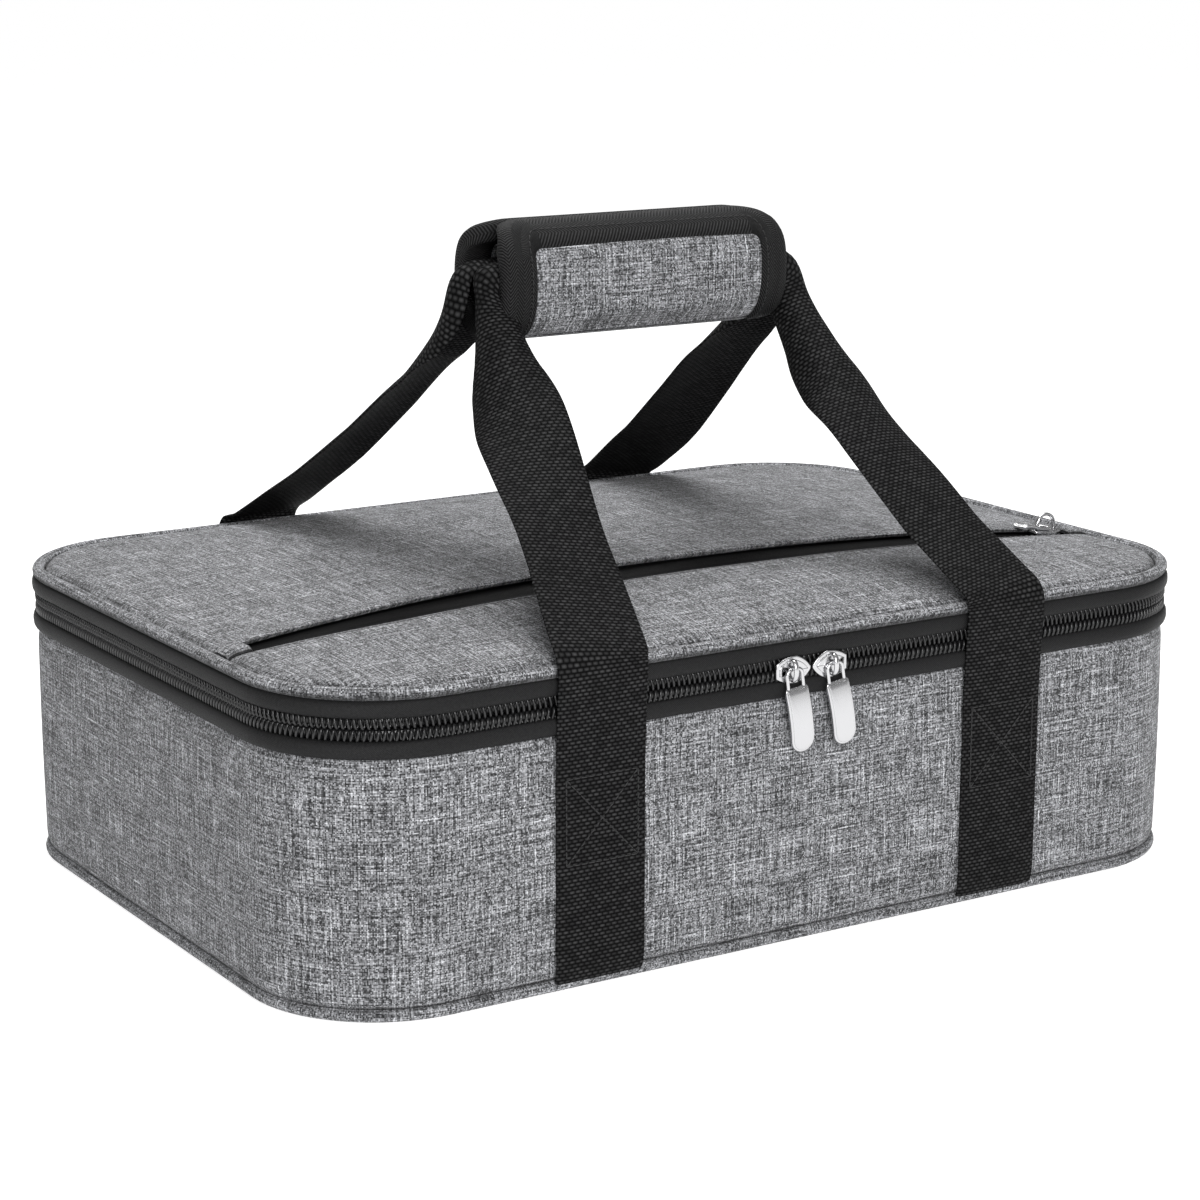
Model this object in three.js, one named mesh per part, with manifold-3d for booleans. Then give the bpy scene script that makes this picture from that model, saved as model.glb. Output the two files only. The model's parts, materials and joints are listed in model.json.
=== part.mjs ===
// A soft-sided casserole carrier: a padded tub with a zipped lid that hinges at the back, two webbing
// handles that meet in a wrap-round grip, and a flat pocket in the lid.
// Millimetres, +Z up, front at -Y, origin at the centre of the bottom face.
import * as THREE from 'three';
import { mergeVertices } from 'three/addons/utils/BufferGeometryUtils.js';
import Module from 'manifold-3d';

const wasm = await Module();
wasm.setup();

// Body
const bodyLength = 420;
const bodyDepth = 294;
const cornerRadius = 54;
const wallHeight = 93.1;
const fabricThickness = 1.2;
const foamThickness = 5;
const liningThickness = 0.6;
const boardThickness = 2;
const bottomFoamThickness = 5;
const basePipingDiameter = 4.8;
const basePipingProud = 1;
const rimBindingThickness = 1.5;

// Main zip
const zipTapeHeight = 6.2;
const zipTapeThickness = 2;
const zipTapeProud = 1;
const coilHeight = 3.5;
const coilThickness = 2.6;
const coilProud = 0.6;
const coilRowGap = 1.2;
const gussetLength = 240;
const gussetProud = 0.4;
const zipStopLength = 4;

// Lid
const lidPipingDiameter = 5;
const lidPipingProud = 1.7;
const lidCrown = 9;
const lidFoamThickness = 4.5;
const lidBindingWidth = 5;

// Pocket in the lid
const pocketSlitY = -65;
const pocketSlitFront = 4.5;
const pocketSlitBack = 12;
const pocketEndInset = 15;
const pocketTapeThickness = 1;
const pocketTapeGap = 1.2;

// Slider and pull, the same for all three apart from the way they point
const sliderNose = 9.1;
const sliderTail = 7;
const sliderWidth = 10.8;
const sliderPlate = 1.6;
const sliderInnerPlate = 1.2;
const sliderWeb = 0.6;
const bridgeSpan = 7.2;
const bridgeWidth = 2;
const bridgeGap = 2.4;
const bridgeThickness = 1.4;
const pullThickness = 1.6;
const pullFrameWidth = 8.6;
const pullFrameLength = 11;
const pullWidth = 10;
const pullLength = 32;
const leftPullTilt = 8;
const rightPullTilt = 10;
const pocketSliderWidth = 7.8;
const pocketInnerPlate = 0.6;
const pocketPullLength = 18;

// Webbing handles
const strapWidth = 38;
const strapThickness = 1.6;
const strapSpacing = 188;
const strapSewnDrop = 14.5;
const strapLift = 2;
const strapRoll = 2.8;
const strapRollStart = 0.4;
const strapTurnSpare = 3;

// Grip
const gripLength = 132;
const gripDepth = 44;
const gripHeight = 46;
const gripY = -16;
const gripRise = 122.6;
const gripWall = 6.5;
const gripSquareness = 2.5;
const gripBindingWidth = 12.5;
const flapFrom = -70;
const flapTo = 96;
const underlapFrom = 58;
const underlapThickness = 1.8;
const touchStripThickness = 0.7;
const touchStripLength = 96;

// Clearances
const seamGap = 0.3;
const slideGap = 0.3;
const noseGap = 0.6;
const strapGap = 0.6;
const strapLidGap = 1.2;

// Facets
const cornerSegments = 6;
const pipingSides = 8;
const lidEdgeSteps = 6;
const strapAcross = 6;
const gripArcStep = 12;
const fullTurn = 360;

// Heights, from the floor up
const wallBottom = basePipingDiameter + 2 * seamGap;
const wallTop = wallBottom + wallHeight;
const boardBottom = fabricThickness + seamGap;
const bottomFoamBottom = boardBottom + boardThickness + seamGap;
const liningFloor = bottomFoamBottom + bottomFoamThickness + seamGap;
const lowerTapeBottom = wallTop + seamGap;
const lowerTapeTop = lowerTapeBottom + zipTapeHeight;
const lowerCoilBottom = lowerTapeTop + seamGap;
const lowerCoilTop = lowerCoilBottom + coilHeight;
const partingHeight = lowerCoilTop + coilRowGap / 2;
const upperCoilBottom = lowerCoilTop + coilRowGap;
const upperCoilTop = upperCoilBottom + coilHeight;
const upperTapeBottom = upperCoilTop + seamGap;
const upperTapeTop = upperTapeBottom + zipTapeHeight;
const lidPipingCentre = upperTapeTop + seamGap + lidPipingDiameter / 2;
const lidPanelBottom = lidPipingCentre - fabricThickness / 2;
const lidPanelTop = lidPanelBottom + fabricThickness;
const gripZ = lidPanelTop + gripRise;
const strapSewnTop = wallTop - strapSewnDrop;
const pocketLiningTop = lidPanelBottom - seamGap;
const lidFoamTop = pocketLiningTop - liningThickness - seamGap;
const lidFoamBottom = lidFoamTop - lidFoamThickness;
const lidLiningTop = lidFoamBottom - seamGap;
const lidBindingTop = lidLiningTop - liningThickness - seamGap;

// Offsets from the wall's outer face, outwards positive
const basePipingOffset = basePipingProud - basePipingDiameter / 2;
const bottomOffset = basePipingOffset - basePipingDiameter / 2 - seamGap;
const foamOffset = -fabricThickness - seamGap;
const liningOffset = foamOffset - foamThickness - seamGap;
const cavityOffset = liningOffset - liningThickness;
const tapeInnerOffset = zipTapeProud - zipTapeThickness;
const coilInnerOffset = coilProud - coilThickness;
const lidPipingOffset = lidPipingProud - lidPipingDiameter / 2;
const lidPanelOffset = lidPipingOffset - lidPipingDiameter / 2 - seamGap;
const sliderInnerOffset = coilInnerOffset - slideGap - sliderInnerPlate;
const lidBindingOffset = sliderInnerOffset - seamGap;
const wallFront = bodyDepth / 2;

// The two main sliders meet nose to nose
const sliderSpacing = 2 * sliderNose + noseGap;

// Finishes
const greyLinen = { color: 0x86878a, roughness: 0.9, metalness: 0 };
const blackWebbing = { color: 0x232325, roughness: 0.8, metalness: 0 };
const blackTape = { color: 0x2a2a2d, roughness: 0.75, metalness: 0 };
const blackCoil = { color: 0x161617, roughness: 0.4, metalness: 0 };
const chrome = { color: 0xd8d9dc, roughness: 0.15, metalness: 1 };
const foil = { color: 0xc9ccd0, roughness: 0.35, metalness: 0.6 };
const whiteFoam = { color: 0xe6e6e2, roughness: 0.95, metalness: 0 };
const greyBoard = { color: 0x77756f, roughness: 0.85, metalness: 0 };

const carrier = new THREE.Group();

function addPiece(name, finish, geometry) {
  const piece = new THREE.Mesh(geometry, new THREE.MeshStandardMaterial(finish));
  piece.name = name;
  carrier.add(piece);
  return piece;
}

// Solids for cutting and joining
function toSolid(geometry) {
  const bare = geometry.clone();
  bare.deleteAttribute('normal');
  bare.deleteAttribute('uv');
  const welded = mergeVertices(bare);
  const vertProperties = Float32Array.from(welded.attributes.position.array);
  const triVerts = Uint32Array.from(welded.index.array);
  return new wasm.Manifold(new wasm.Mesh({ numProp: 3, vertProperties, triVerts }));
}

function toGeometry(solid) {
  const mesh = solid.getMesh();
  const geometry = new THREE.BufferGeometry();
  geometry.setAttribute('position', new THREE.BufferAttribute(Float32Array.from(mesh.vertProperties), 3));
  geometry.setIndex(Array.from(mesh.triVerts));
  return geometry;
}

function join(...geometries) {
  const solids = geometries.map(toSolid);
  return toGeometry(solids.reduce((whole, next) => whole.add(next)));
}

function cut(geometry, ...tools) {
  return toGeometry(tools.map(toSolid).reduce((whole, tool) => whole.subtract(tool), toSolid(geometry)));
}

function common(geometry, tool) {
  return toGeometry(toSolid(geometry).intersect(toSolid(tool)));
}

function block(low, high) {
  const size = high.map((value, axis) => value - low[axis]);
  const middle = high.map((value, axis) => (value + low[axis]) / 2);
  return new THREE.BoxGeometry(...size).translate(...middle);
}

// A closed body from points and triangles, turned so that its faces point outwards
function closedBody(points, triangles) {
  const volume = triangles.reduce((sum, [a, b, c]) => {
    const normal = new THREE.Vector3().crossVectors(points[b], points[c]);
    return sum + points[a].dot(normal);
  }, 0);
  const facing = volume < 0 ? triangles.map(([a, b, c]) => [a, c, b]) : triangles;
  const geometry = new THREE.BufferGeometry().setFromPoints(points);
  geometry.setIndex(facing.flat());
  return geometry;
}

// A skin over rings of points; an open run is closed at each end by a ladder across its ring
function loft(rings, closed) {
  const count = rings[0].length;
  const triangles = [];
  const steps = closed ? rings.length : rings.length - 1;
  for (let i = 0; i < steps; i += 1) {
    const here = i * count;
    const there = ((i + 1) % rings.length) * count;
    for (let j = 0; j < count; j += 1) {
      const next = (j + 1) % count;
      triangles.push([here + j, here + next, there + next], [here + j, there + next, there + j]);
    }
  }
  if (!closed) {
    const last = (rings.length - 1) * count;
    for (let j = 0; j < count / 2 - 1; j += 1) {
      const back = count - 1 - j;
      triangles.push([j, back - 1, j + 1], [j, back, back - 1]);
      triangles.push([last + j, last + j + 1, last + back - 1], [last + j, last + back - 1, last + back]);
    }
  }
  return closedBody(rings.flat(), triangles);
}

// Stations round the wall's outer face, counter-clockwise from above, with the outward direction at each
function cornerStations(signX, signY, startAngle) {
  const centreX = signX * (bodyLength / 2 - cornerRadius);
  const centreY = signY * (bodyDepth / 2 - cornerRadius);
  return Array.from({ length: cornerSegments + 1 }, (_, i) => {
    const angle = startAngle + (i / cornerSegments) * (Math.PI / 2);
    const out = new THREE.Vector2(Math.cos(angle), Math.sin(angle));
    const at = new THREE.Vector2(centreX, centreY).addScaledVector(out, cornerRadius);
    return { at, out };
  });
}

const corners = [
  cornerStations(1, -1, -Math.PI / 2),
  cornerStations(1, 1, 0),
  cornerStations(-1, 1, Math.PI / 2),
  cornerStations(-1, -1, Math.PI),
];
const rimStations = corners.flat();

// The same stations with the straight edges divided, for surfaces that are not flat
const dividedStations = corners.flatMap((corner, i) => {
  const from = corner[cornerSegments];
  const to = corners[(i + 1) % corners.length][0];
  const between = Array.from({ length: lidEdgeSteps - 1 }, (_, k) => {
    return { at: from.at.clone().lerp(to.at, (k + 1) / lidEdgeSteps), out: from.out };
  });
  return [...corner, ...between];
});

// The zip's run: from the gusset round the left side, the front and the right side, back to the gusset
function zipStations(endX) {
  const back = new THREE.Vector2(0, 1);
  const start = { at: new THREE.Vector2(-endX, bodyDepth / 2), out: back };
  const end = { at: new THREE.Vector2(endX, bodyDepth / 2), out: back };
  return [start, ...corners[2], ...corners[3], ...corners[0], ...corners[1], end];
}

function offsetPoint(station, offset) {
  return station.at.clone().addScaledVector(station.out, offset);
}

function rimShape(offset) {
  return new THREE.Shape(rimStations.map((station) => offsetPoint(station, offset)));
}

function extrudeUp(shape, bottom, top) {
  const settings = { depth: top - bottom, bevelEnabled: false, curveSegments: cornerSegments };
  return new THREE.ExtrudeGeometry(shape, settings).translate(0, 0, bottom);
}

function plate(offset, bottom, top) {
  return extrudeUp(rimShape(offset), bottom, top);
}

function ring(outerOffset, innerOffset, bottom, top) {
  const shape = rimShape(outerOffset);
  shape.holes.push(new THREE.Path(rimStations.map((station) => offsetPoint(station, innerOffset))));
  return extrudeUp(shape, bottom, top);
}

// A section of [offset, height] points carried round a run of stations
function carryRound(section, stations, closed) {
  const rings = stations.map((station) => section.map(([offset, height]) => {
    const point = offsetPoint(station, offset);
    return new THREE.Vector3(point.x, point.y, height);
  }));
  return loft(rings, closed);
}

function roundSection(offset, height, diameter) {
  return Array.from({ length: pipingSides }, (_, i) => {
    const angle = ((i + 0.5) / pipingSides) * 2 * Math.PI;
    return [offset + (diameter / 2) * Math.cos(angle), height + (diameter / 2) * Math.sin(angle)];
  });
}

// A band with a softly bulging outer face
function bandSection(outer, inner, bottom, top) {
  const bulge = (outer - inner) / 4;
  const middle = (bottom + top) / 2;
  const outside = [[outer - bulge, bottom], [outer, middle], [outer - bulge, top]];
  return [[inner, bottom], ...outside, [inner, top], [inner, middle]];
}

// Base tub
function buildBase() {
  addPiece('outer_wall', greyLinen, ring(0, -fabricThickness, wallBottom, wallTop));
  addPiece('bottom_panel', greyLinen, plate(bottomOffset, 0, fabricThickness));
  const pipingHeight = seamGap + basePipingDiameter / 2;
  const pipingSection = roundSection(basePipingOffset, pipingHeight, basePipingDiameter);
  addPiece('bottom_piping', greyLinen, carryRound(pipingSection, rimStations, true));
  addPiece('bottom_board', greyBoard, plate(bottomOffset, boardBottom, boardBottom + boardThickness));
  const floorTop = bottomFoamBottom + bottomFoamThickness;
  addPiece('bottom_foam', whiteFoam, plate(liningOffset, bottomFoamBottom, floorTop));
  addPiece('wall_foam', whiteFoam, ring(foamOffset, foamOffset - foamThickness, wallBottom, wallTop));
  const tub = plate(liningOffset, liningFloor, wallTop);
  const cavity = plate(cavityOffset, liningFloor + liningThickness, wallTop + liningThickness);
  addPiece('lining_tub', foil, cut(tub, cavity));
  const bindingTop = lowerTapeBottom + rimBindingThickness;
  const bindingOuter = tapeInnerOffset - seamGap;
  const binding = ring(bindingOuter, cavityOffset - seamGap, lowerTapeBottom, bindingTop);
  addPiece('base_rim_binding', blackTape, binding);
}

// Main zip, half on the base and half on the lid
function buildZip() {
  const tapeEnd = gussetLength / 2 + seamGap;
  const tapeRun = zipStations(tapeEnd);
  const coilRun = zipStations(tapeEnd + zipStopLength + seamGap);
  const lowerTape = bandSection(zipTapeProud, tapeInnerOffset, lowerTapeBottom, lowerTapeTop);
  addPiece('lower_zip_tape', blackTape, carryRound(lowerTape, tapeRun, false));
  const lowerCoil = bandSection(coilProud, coilInnerOffset, lowerCoilBottom, lowerCoilTop);
  addPiece('lower_zip_coil', blackCoil, carryRound(lowerCoil, coilRun, false));
  const upperCoil = bandSection(coilProud, coilInnerOffset, upperCoilBottom, upperCoilTop);
  addPiece('upper_zip_coil', blackCoil, carryRound(upperCoil, coilRun, false));
  const upperTape = bandSection(zipTapeProud, tapeInnerOffset, upperTapeBottom, upperTapeTop);
  addPiece('upper_zip_tape', blackTape, carryRound(upperTape, tapeRun, false));
  for (const [side, sign] of [['left', -1], ['right', 1]]) {
    const ends = [sign * tapeEnd, sign * (tapeEnd + zipStopLength)].sort((a, b) => a - b);
    const low = [ends[0], wallFront + coilInnerOffset, lowerCoilBottom];
    const high = [ends[1], wallFront + coilProud, lowerCoilTop];
    addPiece(`zip_stop_${side}`, chrome, block(low, high));
  }
  const gussetInner = wallFront + gussetProud - fabricThickness;
  const gussetLow = [-gussetLength / 2, gussetInner, lowerTapeBottom];
  const gussetHigh = [gussetLength / 2, wallFront + gussetProud, upperTapeTop];
  addPiece('hinge_gusset', blackTape, block(gussetLow, gussetHigh));
}

// Lid: its layers share one arched form, highest in the middle
const lidHalfLength = bodyLength / 2 + lidPanelOffset;
const lidHalfDepth = bodyDepth / 2 + lidPanelOffset;

function crownHeight(x, y) {
  const along = Math.max(0, 1 - (x / lidHalfLength) ** 2);
  const across = Math.max(0, 1 - (Math.abs(y) / lidHalfDepth) ** 4);
  return lidCrown * along * across;
}

function crownedPlate(offset, bottom, top) {
  const shares = [1, 0.88, 0.7, 0.47, 0.24];
  const count = dividedStations.length;
  const layers = [top, bottom].map((height) => {
    const points = shares.flatMap((share) => dividedStations.map((station) => {
      const point = offsetPoint(station, offset).multiplyScalar(share);
      return new THREE.Vector3(point.x, point.y, height + crownHeight(point.x, point.y));
    }));
    points.push(new THREE.Vector3(0, 0, height + crownHeight(0, 0)));
    return points;
  });
  const under = layers[0].length;
  const middle = under - 1;
  const triangles = [];
  for (let j = 0; j < count; j += 1) {
    const next = (j + 1) % count;
    for (let i = 0; i < shares.length - 1; i += 1) {
      const [a, b, c, d] = [i * count + j, i * count + next, (i + 1) * count + next, (i + 1) * count + j];
      triangles.push([a, b, c], [a, c, d]);
      triangles.push([under + a, under + c, under + b], [under + a, under + d, under + c]);
    }
    const inner = (shares.length - 1) * count;
    triangles.push([inner + j, inner + next, middle]);
    triangles.push([under + inner + j, under + middle, under + inner + next]);
    triangles.push([j, under + next, next], [j, under + j, under + next]);
  }
  return closedBody(layers.flat(), triangles);
}

const pocketRightEnd = bodyLength / 2 - pocketEndInset;
const pocketLeftEnd = -pocketRightEnd;
const slitFront = pocketSlitY - pocketSlitFront;
const slitBack = pocketSlitY + pocketSlitBack;
const lidReach = bodyLength;

// A block over the whole lid between two lines across it
function lidSlice(fromX, toX, fromY, toY) {
  return block([fromX, fromY, lidBindingTop], [toX, toY, lidPanelTop + lidReach]);
}

// A strip of the pocket zip that follows the arch of the lid
function archStrip(fromX, toX, fromY, toY, bottom, top) {
  const steps = 16;
  const rings = Array.from({ length: steps + 1 }, (_, i) => {
    const x = fromX + ((toX - fromX) * i) / steps;
    const lift = crownHeight(x, pocketSlitY);
    const section = [[fromY, bottom], [toY, bottom], [toY, top], [fromY, top]];
    return section.map(([y, z]) => new THREE.Vector3(x, y, z + lift));
  });
  return loft(rings, false);
}

function buildLid() {
  const lidPiping = roundSection(lidPipingOffset, lidPipingCentre, lidPipingDiameter);
  addPiece('lid_piping', greyLinen, carryRound(lidPiping, rimStations, true));
  const top = crownedPlate(lidPanelOffset, lidPanelBottom, lidPanelTop);
  addPiece('lid_front_panel', greyLinen, common(top, lidSlice(-lidReach, lidReach, -lidReach, slitFront)));
  addPiece('lid_back_panel', greyLinen, common(top, lidSlice(-lidReach, lidReach, slitBack, lidReach)));
  const tabFront = slitFront + seamGap;
  const tabBack = slitBack - seamGap;
  const leftTab = lidSlice(-lidReach, pocketLeftEnd - seamGap, tabFront, tabBack);
  addPiece('pocket_end_tab_left', greyLinen, common(top, leftTab));
  const rightTab = lidSlice(pocketRightEnd + seamGap, lidReach, tabFront, tabBack);
  addPiece('pocket_end_tab_right', greyLinen, common(top, rightTab));
  const pouch = crownedPlate(lidPanelOffset, pocketLiningTop - liningThickness, pocketLiningTop);
  const mouth = lidSlice(pocketLeftEnd, pocketRightEnd, slitFront, slitBack);
  addPiece('pocket_lining', blackTape, cut(pouch, mouth));
  addPiece('lid_foam', whiteFoam, crownedPlate(lidPanelOffset, lidFoamBottom, lidFoamTop));
  addPiece('lid_lining', foil, crownedPlate(lidPanelOffset, lidLiningTop - liningThickness, lidLiningTop));
  const bindingBottom = lidBindingTop - rimBindingThickness;
  const bindingInner = lidBindingOffset - lidBindingWidth;
  const binding = ring(lidBindingOffset, bindingInner, bindingBottom, lidBindingTop);
  addPiece('lid_rim_binding', blackTape, binding);
  const tapeTop = lidPanelTop - seamGap;
  const tapeBottom = tapeTop - pocketTapeThickness;
  const halfGap = pocketTapeGap / 2;
  const tapes = [
    ['pocket_front_tape', slitFront + seamGap, pocketSlitY - halfGap],
    ['pocket_back_tape', pocketSlitY + halfGap, slitBack - seamGap],
  ];
  for (const [name, fromY, toY] of tapes) {
    const strip = archStrip(pocketLeftEnd, pocketRightEnd, fromY, toY, tapeBottom, tapeTop);
    addPiece(name, blackTape, strip);
  }
}

// Zip hardware is drawn flat: first axis across the pull, second axis along it, third axis outwards

// Shield outline with its nose at +X
function shieldShape(width) {
  const half = width / 2;
  const shoulder = sliderNose / 4;
  const shape = new THREE.Shape();
  shape.moveTo(-sliderTail, -half / 2);
  shape.quadraticCurveTo(-sliderTail / 2, -half, shoulder, -half);
  shape.lineTo(sliderNose, 0);
  shape.lineTo(shoulder, half);
  shape.quadraticCurveTo(-sliderTail / 2, half, -sliderTail, half / 2);
  return shape;
}

// Outer plate, web between the rows, inner plate and the bridge that holds the pull.
// The outer plate's underside is at height slideGap; the chain below it is chainDepth thick.
function sliderBody(plateTurn, width, chainDepth, innerPlate) {
  const plateTop = slideGap + sliderPlate;
  const innerTop = -chainDepth - slideGap;
  const outer = extrudeUp(shieldShape(width), slideGap, plateTop);
  const inner = extrudeUp(shieldShape(width), innerTop - innerPlate, innerTop);
  const sink = innerPlate / 2;
  const webLow = [-sliderTail / 2, -sliderWeb / 2, innerTop - sink];
  const webHigh = [sliderNose / 2, sliderWeb / 2, slideGap + sink];
  const chainParts = join(outer, inner, block(webLow, webHigh)).rotateZ(plateTurn);
  const halfSpan = bridgeSpan / 2;
  const halfWidth = bridgeWidth / 2;
  const barLow = plateTop + bridgeGap;
  const barHigh = barLow + bridgeThickness;
  const barEnd = halfSpan + halfWidth;
  const bar = block([-halfWidth, -barEnd, barLow], [halfWidth, barEnd, barHigh]);
  const posts = [-halfSpan, halfSpan].map((along) => {
    const low = [-halfWidth, along - halfWidth, slideGap + sliderPlate / 2];
    return block(low, [halfWidth, along + halfWidth, barLow + bridgeThickness / 2]);
  });
  return join(chainParts, bar, ...posts);
}

// Height of the pull's cross bar over the chain, in the middle of the bridge's gap
const pullAxisHeight = slideGap + sliderPlate + bridgeGap / 2;
// Distance of the cross bar from the middle of the bridge, towards the post that it hangs away from
const pullAxisShift = bridgeGap / 3;

// Arched frame and flat tab; the cross bar lies on the first axis and the tab runs down the second
function pullBody(length) {
  const half = pullThickness / 2;
  const outline = new THREE.Shape();
  const frameHalf = pullFrameWidth / 2;
  const tabHalf = pullWidth / 2;
  const frameTop = half;
  const neck = frameTop - pullFrameLength;
  const end = frameTop - length;
  const shoulder = frameTop - frameHalf / 2;
  outline.moveTo(-frameHalf / 2, frameTop);
  outline.quadraticCurveTo(-frameHalf, frameTop, -frameHalf, shoulder);
  outline.lineTo(-frameHalf, neck);
  outline.lineTo(-tabHalf, neck - (tabHalf - frameHalf));
  outline.lineTo(-tabHalf, end + tabHalf);
  outline.absarc(0, end + tabHalf, tabHalf, Math.PI, 2 * Math.PI, false);
  outline.lineTo(tabHalf, neck - (tabHalf - frameHalf));
  outline.lineTo(frameHalf, neck);
  outline.lineTo(frameHalf, shoulder);
  outline.quadraticCurveTo(frameHalf, frameTop, frameHalf / 2, frameTop);
  const holeHalf = frameHalf - pullThickness;
  const hole = new THREE.Path();
  hole.moveTo(-holeHalf, -half);
  hole.lineTo(holeHalf, -half);
  hole.lineTo(holeHalf, neck + pullThickness);
  hole.lineTo(-holeHalf, neck + pullThickness);
  hole.closePath();
  outline.holes.push(hole);
  return extrudeUp(outline, -half, half);
}

// Turns flat hardware so that its second axis stands up and its third axis points out of the front
const onFront = new THREE.Matrix4().makeBasis(
  new THREE.Vector3(1, 0, 0),
  new THREE.Vector3(0, 0, 1),
  new THREE.Vector3(0, -1, 0),
);

function buildMainSliders() {
  const chainFace = -(wallFront + coilProud);
  for (const [side, sign, tilt] of [['left', -1, leftPullTilt], ['right', 1, rightPullTilt]]) {
    const x = (sign * sliderSpacing) / 2;
    const plateTurn = sign < 0 ? 0 : Math.PI;
    const slider = sliderBody(plateTurn, sliderWidth, coilThickness, sliderInnerPlate);
    const sliderPiece = addPiece(`${side}_slider`, chrome, slider.applyMatrix4(onFront));
    sliderPiece.position.set(x, chainFace, partingHeight);
    const pull = pullBody(pullLength).rotateZ(THREE.MathUtils.degToRad(tilt)).applyMatrix4(onFront);
    const pullY = chainFace - pullAxisHeight;
    addPiece(`${side}_pull`, chrome, pull).position.set(x, pullY, partingHeight + pullAxisShift);
  }
}

// The pocket's slider rides on a turning arm as long as the arch's radius, so that it follows the arch
const crownAtSlit = crownHeight(0, pocketSlitY);
const archRadius = lidHalfLength ** 2 / (2 * crownAtSlit);
const pocketChainTop = lidPanelTop - seamGap;
const pocketSliderX = pocketRightEnd - sliderNose - slideGap;

function buildPocketSlider() {
  const carriage = new THREE.Group();
  carriage.position.set(0, pocketSlitY, pocketChainTop + crownAtSlit - archRadius);
  carriage.rotation.y = Math.asin(pocketSliderX / archRadius);
  const quarter = Math.PI / 2;
  const flat = sliderBody(quarter, pocketSliderWidth, pocketTapeThickness, pocketInnerPlate);
  const slider = flat.rotateZ(-quarter);
  const pull = pullBody(pocketPullLength).rotateZ(-quarter);
  const sliderPiece = addPiece('pocket_slider', chrome, slider);
  const pullPiece = addPiece('pocket_pull', chrome, pull);
  sliderPiece.position.set(0, 0, archRadius);
  pullPiece.position.set(pullAxisShift, 0, archRadius + pullAxisHeight);
  carriage.add(sliderPiece, pullPiece);
  carrier.add(carriage);
}

// Webbing handles
function buildAnchors() {
  const inner = wallFront + seamGap;
  for (const [end, signY] of [['front', -1], ['back', 1]]) {
    for (const [side, signX] of [['left', -1], ['right', 1]]) {
      const x = (signX * strapSpacing) / 2;
      const faces = [signY * inner, signY * (inner + strapThickness)].sort((a, b) => a - b);
      const low = [x - strapWidth / 2, faces[0], wallBottom];
      const high = [x + strapWidth / 2, faces[1], strapSewnTop];
      addPiece(`${end}_${side}_strap_anchor`, blackWebbing, block(low, high));
    }
  }
}

const rollRadius = strapWidth / 2 / strapRoll;
const gripInside = gripDepth / 2 - gripWall;
const entryX = gripLength / 2 + strapGap + rollRadius + strapThickness / 2;
const entryInset = gripInside - seamGap - strapThickness / 2;
const gripTurn = rollRadius + strapTurnSpare;

// The strap's middle line from its anchor to the middle of the grip. Between the lid's edge and the grip
// each point is a share of the way inwards, upwards and sideways: straight from the front, and from the
// back with a slack length lying over the lid.
const frontShares = [[0.26, 0.22, 0.4], [0.55, 0.49, 0.7], [0.825, 0.765, 0.98], [0.95, 0.92, 1]];
const backShares = [
  [0.11, 0.05, 0.1], [0.255, 0.11, 0.23], [0.382, 0.222, 0.39], [0.645, 0.493, 0.73],
  [0.89, 0.765, 0.98], [0.972, 0.92, 1],
];

function strapRoute(signY, shares) {
  const sewnY = wallFront + seamGap + strapThickness / 2;
  const liftedY = wallFront + zipTapeProud + strapGap + strapThickness / 2;
  const overLid = lidPipingDiameter / 2 + strapLidGap + strapThickness / 2;
  const diagonal = overLid * Math.SQRT1_2;
  const edgeY = wallFront + lidPipingOffset + diagonal;
  const edgeZ = lidPipingCentre + diagonal;
  const x = strapSpacing / 2;
  const entryY = signY * gripY + entryInset;
  const entryZ = gripZ - gripTurn;
  const wall = [
    [x, sewnY, strapSewnTop + seamGap],
    [x, sewnY, strapSewnTop + strapLift],
    [x, liftedY, lowerTapeBottom - strapLift],
    [x, liftedY, partingHeight],
    [x, wallFront + lidPipingOffset + overLid, lidPipingCentre],
    [x, edgeY, edgeZ],
  ];
  const span = shares.map(([inwards, upwards, sideways]) => [
    THREE.MathUtils.lerp(x, entryX, sideways),
    THREE.MathUtils.lerp(edgeY, entryY, inwards),
    THREE.MathUtils.lerp(edgeZ, entryZ, upwards),
  ]);
  const points = [...wall, ...span, [entryX, entryY, entryZ]];
  return points.map(([px, py, pz]) => new THREE.Vector3(-px, signY * py, pz));
}

// A roll this small is as good as flat
const flatRoll = 0.001;

// One cross-section of the strap: flat where roll is 0, and curled back on itself as roll grows
function strapSection(centre, along, out, roll) {
  const face = out.clone().addScaledVector(along, -out.dot(along)).normalize();
  const wide = new THREE.Vector3().crossVectors(along, face);
  const half = strapWidth / 2;
  const curl = Math.max(roll, flatRoll);
  const radius = half / curl;
  const side = (thick) => Array.from({ length: strapAcross + 1 }, (_, i) => {
    const angle = curl * ((2 * i) / strapAcross - 1);
    const reach = radius + thick;
    const point = centre.clone().addScaledVector(wide, reach * Math.sin(angle));
    return point.addScaledVector(face, reach * Math.cos(angle) - radius);
  });
  return [...side(strapThickness / 2), ...side(-strapThickness / 2).reverse()];
}

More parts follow.
